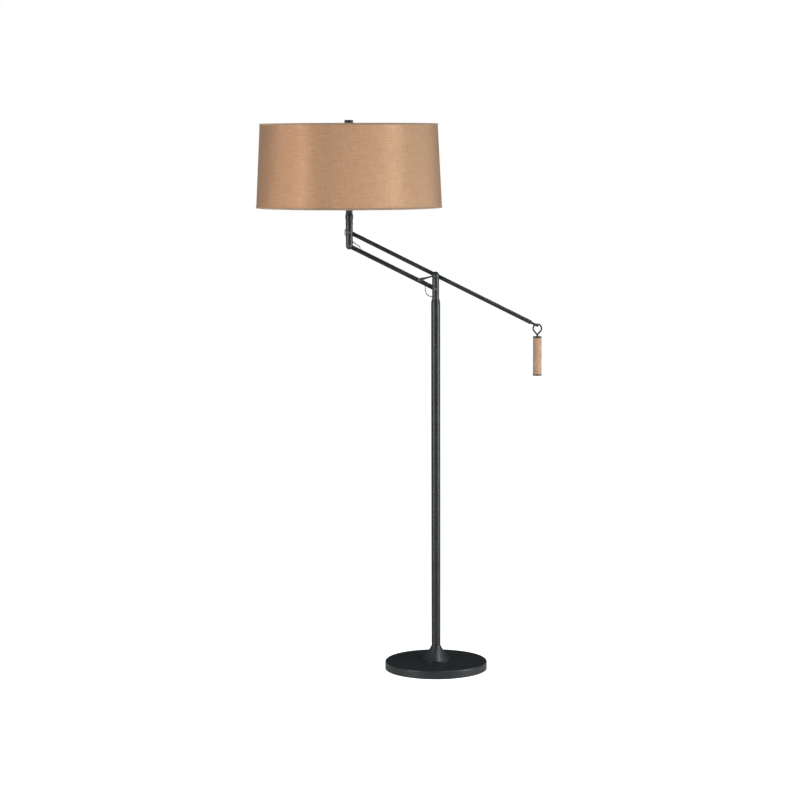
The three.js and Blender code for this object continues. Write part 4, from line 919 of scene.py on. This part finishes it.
def make_pole():
    tube("pole_lower_tube")
    tube("pole_upper_tube", edge=0.5 * MM)
    make_pole_fork()
    make_pivot_nut()
    make_clamp_lever()
    make_pin("link_pole_pin", LINK)
    make_pin("arm_head_pin", HEAD_UPPER)
    make_pin("link_head_pin", HEAD_LOWER)


# ---------- arm and link ----------
LEAD_RADIUS = 1.45 * MM
LEAD_HOLE = 2.2 * MM
POLE_LEAD_EXIT = -28.3 * MM
HEAD_LEAD_EXIT = 29.7 * MM


def make_link_tube():
    low, high, inner, outer = span("link_tube", LINK, ARM_AXIS)
    profile = rounded([(outer, low), (outer, high), (inner, high), (inner, low)], 0.35 * MM)
    made = lathe(fine("link_tube"), profile, LINK, ARM_AXIS, 64)
    slope = ARM_AXIS.z / ARM_AXIS.x
    at_pole = LINK + Vector((POLE_LEAD_EXIT, 0, POLE_LEAD_EXIT * slope))
    at_head = HEAD_LOWER + Vector((HEAD_LEAD_EXIT, 0, HEAD_LEAD_EXIT * slope))
    holes = [rod(LEAD_HOLE, at_pole, Z, -0.02, 0, 32), rod(LEAD_HOLE, at_head, Z, 0, 0.02, 32)]
    use(cut(made, *holes), "link_tube")


def make_arm():
    tube("arm_head_tube", ARM, ARM_AXIS)
    tube("arm_weight_tube", ARM, ARM_AXIS)
    make_link_tube()


# ---------- leads that cross the joints ----------
# Offsets [x, z] of the leads' middles, in millimetres, as the solid leads lie.
POLE_JUMPER = [
    [-35.8, 17.93], [-31.57, 15.81], [-30.02, 14.68], [-28.7, 12.5], [-28.3, 10.2], [-28.3, 4], [-28.3, -2],
    [-27.4, -8.5], [-24.2, -14.5], [-19, -18.8], [-12.5, -21.2], [-6.5, -22.6], [-1.7, -25.4],
    [-0.1, -30.5], [0, -40],
]
HEAD_JUMPER_UPPER = [
    [0, 30], [0, 24.5], [-1.2, 19], [-5, 13.5], [-9.3, 8.6], [-11.8, 3], [-12.1, -3], [-10.3, -9],
    [-6, -14.3],
]
HEAD_JUMPER_LOWER = [
    [0, 19.3], [5.7, 14.4], [11.3, 9.9], [17.5, 5.5], [23.9, 1.2], [27.4, -1.5], [29.2, -4.6], [29.7, -8.1],
    [29.7, -11.16], [30.6, -14.3], [33, -16.5], [36.6, -18.33],
]


def offset_points(pivot_place, offsets):
    return [pivot_place + Vector((x, 0, z)) * MM for x, z in offsets]


def make_jumper(node, points):
    """A lead along a smooth line through points, in place of its CAD node."""
    line = through(points, 5)
    made = sweep(fine(node), line, LEAD_RADIUS, 14)
    made.data.materials.append(MATERIALS["lead"])
    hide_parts(node)
    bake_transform(made)


def make_leads():
    along = 44 * MM * ARM_AXIS
    pole_points = [LINK - along, *offset_points(LINK, POLE_JUMPER)]
    make_jumper("pole_jumper", pole_points[::-1])
    head_points = offset_points(HEAD_UPPER, HEAD_JUMPER_UPPER)
    head_points += offset_points(HEAD_LOWER, HEAD_JUMPER_LOWER)
    make_jumper("head_jumper", [*head_points, HEAD_LOWER + along])


# ---------- shade head ----------
def make_collar():
    low, high, bore, outer = span("head_collar", HEAD, Z)
    neck = 9.4 * MM
    pull = outer + 0.5 * MM
    swell = bezier(
        (neck, low + 1 * MM),
        (pull, low + 7 * MM),
        (pull, high - 7 * MM),
        (neck, high - 1 * MM),
        20,
    )
    swell = [Vector((min(point.x, outer), point.y)) for point in swell]
    profile = [(neck - 0.4 * MM, low), *swell, (neck - 0.6 * MM, high), (bore, high), (bore, low)]
    turned("head_collar", profile, HEAD, sides=80)


HARP_OUTLINE = [
    [30 / 58, 0], [30 / 58, 0.035], [30 / 58, 0.07], [0.6, 0.13], [0.82, 0.23], [0.97, 0.36], [1, 0.48],
    [0.95, 0.62], [0.8, 0.76], [0.55, 0.88], [0.28, 0.965], [0, 1],
]
HARP_WIRE = 2.2 * MM
HARP_DISC = 5 * MM
HARP_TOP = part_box("harp")[1].z - 13 * MM


def make_harp():
    low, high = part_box("harp")
    stud_top = high.z
    foot = low.z
    half = (high.x - low.x) / 2 - HARP_WIRE
    rise = HARP_TOP - HARP_DISC / 2 - foot
    right = [Vector((HEAD.x + share * half, 0, foot + up * rise)) for share, up in HARP_OUTLINE]
    left = [Vector((2 * HEAD.x - point.x, 0, point.z)) for point in right[-2::-1]]
    made = sweep(fine("harp"), through([*right, *left], 6), HARP_WIRE, 20)
    disc_bottom = HARP_TOP - HARP_DISC
    disc_radius = 7 * MM
    stud = 3.2 * MM
    outline = [
        (0, disc_bottom),
        (disc_radius, disc_bottom),
        (disc_radius, HARP_TOP),
        (stud, HARP_TOP),
        (stud, stud_top),
        (0, stud_top),
    ]
    disc = lathe("disc", rounded(outline, 0.5 * MM, closed=False), HEAD, sides=48, closed=False)
    use(join(made, disc), "harp")


def make_saddle():
    low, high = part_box("harp_saddle")
    strap_top = low.z + 2 * MM
    strap = block((low.x + 3.5 * MM, low.y, low.z), (high.x - 3.5 * MM, high.y, strap_top))
    strap.name = fine("harp_saddle")
    posts = []
    bores = [rod(5.3 * MM, HEAD, Z, low.z - 0.01, strap_top + 0.01)]
    for x in (low.x + 3.5 * MM, high.x - 3.5 * MM):
        place = Vector((x, 0, 0))
        posts.append(rod(3.5 * MM, place, Z, low.z, high.z, 40))
        bores.append(rod(2.5 * MM, place, Z, strap_top, high.z + 0.01, 40))
    use(ease_edges(cut(join(strap, *posts), *bores)), "harp_saddle")
    for node in ("harp_ferrule_left", "harp_ferrule_right"):
        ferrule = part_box(node)
        place = Vector(((ferrule[0].x + ferrule[1].x) / 2, 0, 0))
        tube(node, place, edge=0.4 * MM, sides=40)


def switch_hole():
    """The way through the socket's front wall for the switch's shaft."""
    knob = pivot("switch_turn")
    return rod(2.5 * MM, Vector((knob.x, 0, knob.z)), Y, -0.03, -0.012)


def make_socket():
    low, high, bore, outer = span("socket_cap", HEAD, Z)
    wall = 0.8 * MM
    edge = (outer - 5 * MM, low + 5 * MM)
    outline = [
        (bore, low),
        *arc(edge, 5 * MM, -90, 0, 12),
        (outer, high - 1 * MM),
        (outer, high),
        (outer - wall, high),
        *arc(edge, 5 * MM - wall, 0, -90, 12),
        (bore, low + wall),
    ]
    cap = lathe(fine("socket_cap"), outline, HEAD, sides=80)
    use(cut(cap, switch_hole()), "socket_cap")
    low, high, _, outer = span("socket_shell", HEAD, Z)
    outline = [(outer, low), (outer, high), (outer - wall, high), (outer - wall, low)]
    shell = lathe(fine("socket_shell"), rounded(outline, 0.3 * MM), HEAD, sides=80)
    use(cut(shell, switch_hole()), "socket_shell")


def make_switch():
    place = pivot("switch_turn")
    centre = Vector((place.x, 0, place.z))
    front, inner, _, outer = span("switch_knob", centre, Y)
    start = front + 11 * MM
    face = front + 2 * MM
    ridges = 18

    def knurl(angle, height):
        return 0.22 * MM * math.cos(ridges * angle) if face < height < start else 0

    outline = [(0, face), (outer - 1 * MM, face), (outer - 0.3 * MM, start), (0, start)]
    outline = rounded(outline, 0.8 * MM, closed=False)
    knob = lathe(fine("switch_knob"), outline, centre, Y, 144, closed=False, shift=knurl)
    shaft = rod(2.2 * MM, centre, Y, start - 1 * MM, inner, 32)
    reach = outer - 1.6 * MM
    low = centre + Vector((-1.3 * MM, front, -reach))
    high = centre + Vector((1.3 * MM, face + 1 * MM, reach))
    use(ease_edges(join(knob, shaft, block(low, high))), "switch_knob")


THREAD_PITCH = 3.6 * MM
THREAD_DEPTH = 0.45 * MM


def make_bulb():
    low, high, _, outer = span("bulb_base", HEAD, Z)
    outline = [(0, low), (4.5 * MM, low), (outer - 1.5 * MM, low + 4 * MM)]
    steps = 60
    start = low + 5.5 * MM
    for step in range(steps + 1):
        height = start + (high - start) * step / steps
        ripple = 0.5 - 0.5 * math.cos(2 * math.pi * (height - start) / THREAD_PITCH)
        outline.append((outer - THREAD_DEPTH * ripple, height))
    outline.append((0, high))
    turned("bulb_base", outline, HEAD, sides=64, closed=False)
    low, high, _, globe = span("bulb_glass", HEAD, Z)
    centre = high - globe
    neck = 12.4 * MM
    handle = 0.5 * (centre - low)

    def surface(inset):
        rise = bezier((neck - inset, low), (neck - inset, low + handle), (globe - inset, centre - handle),
                      (globe - inset, centre), 18)
        return [*rise, *arc((0, centre), globe - inset, 6, 90, 14)]

    outline = [*surface(0), *surface(0.9 * MM)[::-1]]
    turned("bulb_glass", outline, HEAD, sides=96)


def make_head():
    make_head_fork()
    make_collar()
    tube("head_stem", HEAD)
    make_harp()
    make_saddle()
    make_socket()
    make_switch()
    make_bulb()


# ---------- shade ----------
SHADE_SIDES = 360
SHADE_ROWS = 30
SEAM_WIDTH = 9 * MM
SEAM_PROUD = 0.45 * MM


def cone_of(node):
    """The low and high ends of a conical wall: [radius, height] of the outside and of the inside."""
    ends = []
    vertices = [vertex.co for vertex in NODES[node].data.vertices]
    lowest = min(point.z for point in vertices)
    highest = max(point.z for point in vertices)
    for height in (lowest, highest):
        radii = [(point - HEAD - Z * point.z).length for point in vertices if abs(point.z - height) < 1e-5]
        ends.append((height, max(radii), min(radii)))
    return ends


def wall_outline(node, rows):
    (low, low_out, low_in), (high, high_out, high_in) = cone_of(node)
    outside = []
    inside = []
    for row in range(rows + 1):
        share = row / rows
        height = low + (high - low) * share
        outside.append((low_out + (high_out - low_out) * share, height))
        inside.append((low_in + (high_in - low_in) * share, height))
    return [*outside, *inside[::-1]]


def uneven(angle, height):
    """How far the cloth stands out of a true cone: faint waves between the frame's rings."""
    around = Vector((2.2 * math.cos(angle), 2.2 * math.sin(angle), 5 * height))
    fine_waves = Vector((16 * math.cos(angle), 16 * math.sin(angle), 22 * height))
    return 0.35 * MM * noise.noise(around) + 0.1 * MM * noise.noise(fine_waves)


def make_fabric():
    outline = wall_outline("shade_fabric", SHADE_ROWS)
    fabric = turned("shade_fabric", outline, HEAD, sides=SHADE_SIDES, shift=uneven)


def make_seam():
    """The lap where the cloth's ends meet, at the back."""
    (low, low_out, _), (high, high_out, _) = cone_of("shade_fabric")
    points = []
    faces = []
    sheet = []
    across = 8
    trim = 4.2 * MM
    for row in range(SHADE_ROWS + 1):
        height = low + trim + (high - low - 2 * trim) * row / SHADE_ROWS
        radius = low_out + (high_out - low_out) * (height - low) / (high - low)
        for inner in (0, 1):
            for column in range(across + 1):
                side = column / across - 0.5
                angle = math.pi / 2 + side * SEAM_WIDTH / radius
                proud = SEAM_PROUD if abs(side) < 0.45 else 0.2 * MM
                out = radius + (proud + uneven(angle, height) if inner == 0 else -0.1 * MM)
                points.append(HEAD + Vector((out * math.cos(angle), out * math.sin(angle), height)))
    width = across + 1
    for row in range(SHADE_ROWS):
        for column in range(across):
            for layer in (0, 1):
                base = row * 2 * width + layer * width + column
                up = base + 2 * width
                faces.append([base, base + 1, up + 1, up])
    for row in range(SHADE_ROWS):
        for column in (0, across):
            base = row * 2 * width + column
            faces.append([base, base + width, base + 3 * width, base + 2 * width])
    for row in (0, SHADE_ROWS):
        for column in range(across):
            base = row * 2 * width + column
            faces.append([base, base + 1, base + 1 + width, base + width])
    for face in faces:
        for index in face:
            point = points[index] - HEAD
            sheet.append((math.atan2(point.y, point.x) * low_out, point.z))
    made = new_object("shade_seam", mesh_of("shade_seam", points, faces, sheet))
    fix_normals(made)
    smooth(made, 50)
    made.data.materials.append(MATERIALS["linen"])
    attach(made, "head")


def make_trim(node, rim_is_low):
    """Tape folded over a rim: the CAD node's own outline, rounded."""
    points = [vertex.co - HEAD for vertex in NODES[node].data.vertices]
    low = min(point.z for point in points)
    high = max(point.z for point in points)

    def radii_at(height):
        return [math.hypot(point.x, point.y) for point in points if abs(point.z - height) < 1e-5]

    rim = low if rim_is_low else high
    free = high if rim_is_low else low
    towards = 1 if rim_is_low else -1
    at_rim = radii_at(rim)
    at_free = sorted({round(radius, 5) for radius in radii_at(free)})
    wall = 0.5 * MM
    base = rim + towards * wall
    inner_free, inner_wall = at_free[:2]
    outer_wall, outer_free = at_free[-2:]
    outline = [
        (max(at_rim), rim),
        (outer_free, free),
        (outer_wall, free),
        (max(at_rim) - wall, base),
        (min(at_rim) + wall, base),
        (inner_wall, free),
        (inner_free, free),
        (min(at_rim), rim),
    ]
    if not rim_is_low:
        outline = outline[::-1]
    turned(node, rounded(outline, 0.35 * MM, steps=3), HEAD, sides=SHADE_SIDES)


def wire_ring(name, radius, height, wire):
    return lathe(name, arc((radius, height), wire, -90, 255, 15), HEAD, sides=240)


WIRE = 1.6 * MM
SPOKES = 3


def make_frame():
    low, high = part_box("shade_bottom_ring")
    radius = (high.x - low.x) / 2 - WIRE
    use(wire_ring(fine("shade_bottom_ring"), radius, (low.z + high.z) / 2, WIRE), "shade_bottom_ring")
    low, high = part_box("shade_spider")
    radius = (high.x - low.x) / 2 - WIRE
    ring_height = high.z - WIRE
    hub_bottom = HARP_TOP + 0.3 * MM
    hub_top = hub_bottom + 2 * MM
    hub_middle = (hub_bottom + hub_top) / 2
    hub_radius = 17 * MM
    bore = 3.5 * MM
    outline = [(bore, hub_bottom), (hub_radius, hub_bottom), (hub_radius, hub_top), (bore, hub_top)]
    hub = lathe("hub", rounded(outline, 0.5 * MM), HEAD, sides=72)
    spokes = []
    for index in range(SPOKES):
        angle = math.pi / 2 + 2 * math.pi * index / SPOKES
        out = Vector((math.cos(angle), math.sin(angle), 0))
        start = HEAD + out * (hub_radius - 4 * MM) + Z * hub_middle
        end = HEAD + out * radius + Z * ring_height
        spokes.append(rod(WIRE, start, (end - start).normalized(), 0, (end - start).length, 24))
    ring = wire_ring(fine("shade_spider"), radius, ring_height, WIRE)
    use(join(ring, hub, *spokes), "shade_spider")


def make_finial():
    low, high, _, outer = span("finial", HEAD, Z)
    shoulder = low + 3.6 * MM
    neck = 7 * MM
    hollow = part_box("harp")[1].z + 0.3 * MM
    bore = 3.5 * MM
    outline = [(bore, low), (neck, low), (neck, shoulder), (outer, shoulder), (outer, high), (0, high)]
    outline = rounded(outline, 0.9 * MM, closed=False)
    outline = [(0, hollow), (bore, hollow), *outline]
    turned("finial", outline, HEAD, sides=96, closed=False)


def make_shade():
    make_fabric()
    make_seam()
    turned("shade_liner", wall_outline("shade_liner", 12), HEAD, sides=SHADE_SIDES)
    make_trim("shade_trim_bottom", True)
    make_trim("shade_trim_top", False)
    make_frame()
    make_finial()


# ---------- counterweight ----------
LOOP_POINT = 17.4 * MM
STITCHES = 22
STITCH_ROWS = (5.5 * MM, 9 * MM)
STITCH_RADIUS = 0.38 * MM


def make_loop():
    low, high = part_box("weight_loop")
    wire = 2.25 * MM
    radius = (high.x - low.x) / 2 - wire
    centre = Vector((HANGER.x, 0, high.z - wire - radius))
    point = centre - Z * LOOP_POINT
    lean = math.asin(radius / LOOP_POINT)
    leg = LOOP_POINT * math.cos(lean)
    legs = []
    for side in (-1, 1):
        along = Vector((side * math.sin(lean), 0, math.cos(lean)))
        legs.append([point + along * leg * share for share in (0, 1 / 3, 2 / 3)])
    over = []
    steps = 24
    for step in range(steps + 1):
        angle = math.pi + lean - (math.pi + 2 * lean) * step / steps
        over.append(centre + radius * Vector((math.cos(angle), 0, math.sin(angle))))
    line = through([*legs[0], *over, *legs[1][::-1]], 3)
    made = sweep(fine("weight_loop"), line, wire, 24)
    stem = rod(2.6 * MM, HANGER, Z, low.z - HANGER.z, point.z - HANGER.z + 1 * MM, 40)
    use(join(made, stem), "weight_loop")


def make_cap(node, up):
    low, high, _, outer = span(node, HANGER, Z)
    if up:
        outline = [(2.9 * MM, low), (outer, low), (outer, high), (2.9 * MM, high)]
        turned(node, rounded(outline, 0.6 * MM), HANGER, sides=72)
        return
    disc = low + 3.5 * MM
    outline = [(0, low), (outer, low), (outer, disc), (2.6 * MM, disc), (2.6 * MM, high), (0, high)]
    turned(node, rounded(outline, 0.6 * MM, closed=False), HANGER, sides=72, closed=False)


def wrinkled(angle, height):
    around = Vector((3 * math.cos(angle), 3 * math.sin(angle), 60 * height))
    along = Vector((14 * math.cos(angle), 14 * math.sin(angle), 12 * height))
    return 0.09 * MM * noise.noise(around) + 0.06 * MM * noise.noise(along) - 0.1 * MM


def make_wrap():
    low, high, inner, outer = span("weight_wrap", HANGER, Z)
    rows = 60
    outside = [(outer, low + (high - low) * row / rows) for row in range(rows + 1)]
    outline = rounded([*outside, (inner, high), (inner, low)], 0.5 * MM)
    turned("weight_wrap", outline, HANGER, sides=96, shift=wrinkled)
    make_stitches(low, high, outer)


def capsule(builder, start, end, radius, sides=8):
    """One stitch: a short rod with rounded ends."""
    axis = (end - start).normalized()
    out = axis.orthogonal().normalized()
    across = axis.cross(out)
    length = (end - start).length
    rows = [(0.35, 0.0), (0.85, 0.12), (1.0, 0.3), (1.0, 0.7), (0.85, 0.88), (0.35, 1.0)]
    rings = []
    for share, along in rows:
        ring = []
        for side in range(sides):
            angle = 2 * math.pi * side / sides
            offset = radius * share * (math.cos(angle) * out + math.sin(angle) * across)
            ring.append(builder.verts.new(start + axis * length * along + offset))
        rings.append(ring)
    for low, high in zip(rings, rings[1:]):
        for side in range(sides):
            ahead = (side + 1) % sides
            builder.faces.new([low[side], low[ahead], high[ahead], high[side]])
    builder.faces.new(rings[0][::-1])
    builder.faces.new(rings[-1])


def make_stitches(low, high, outer):
    """Two rows of stitches round each end of the wrap, and one down its seam at the back."""
    builder = bmesh.new()
    radius = outer - 0.28 * MM
    for height in [low + row for row in STITCH_ROWS] + [high - row for row in STITCH_ROWS]:
        for index in range(STITCHES):
            angles = [2 * math.pi * (index + share) / STITCHES for share in (0.14, 0.86)]
            ends = [HANGER + Vector((radius * math.cos(a), radius * math.sin(a), height)) for a in angles]
            capsule(builder, *ends, STITCH_RADIUS)
    seam = radius - 0.02 * MM
    step = 4 * MM
    height = low + STITCH_ROWS[1] + step
    while height < high - STITCH_ROWS[1] - step:
        start = HANGER + Vector((0, seam, height))
        capsule(builder, start, start + Z * (0.7 * step), STITCH_RADIUS)
        height += step
    mesh = bpy.data.meshes.new("wrap_stitches")
    bmesh.ops.recalc_face_normals(builder, faces=builder.faces)
    builder.to_mesh(mesh)
    builder.free()
    made = smooth(new_object("wrap_stitches", mesh), 60)
    mesh.materials.append(thread())
    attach(made, "counterweight")


def make_hanger_pin():
    low, high, _, outer = span("hanger_pin", HANGER, Y)
    shank = 1.5 * MM
    head = 0.8 * MM
    outline = [(0, low), (outer, low), (outer, low + head), (shank, low + head), (shank, high - head)]
    outline += [(outer, high - head), (outer, high), (0, high)]
    turned("hanger_pin", rounded(outline, 0.35 * MM, closed=False), HANGER, Y, sides=40, closed=False)


def make_weight():
    make_loop()
    make_cap("weight_top_cap", True)
    make_cap("weight_bottom_cap", False)
    make_wrap()
    make_hanger_pin()


# ---------- CAD pieces that stay ----------
def finish_kept_nodes():
    """The small and inner CAD pieces keep their shape, and get their materials and smooth shading."""
    for name, node in NODES.items():
        if node.hide_render:
            continue
        node.data.materials.clear()
        node.data.materials.append(MATERIALS[SLOT_OF[name]])
        smooth(node, 32)


make_studio()
MATERIALS = make_materials()
make_leads()
make_base()
make_pole()
make_arm()
make_head()
make_shade()
make_weight()
finish_kept_nodes()
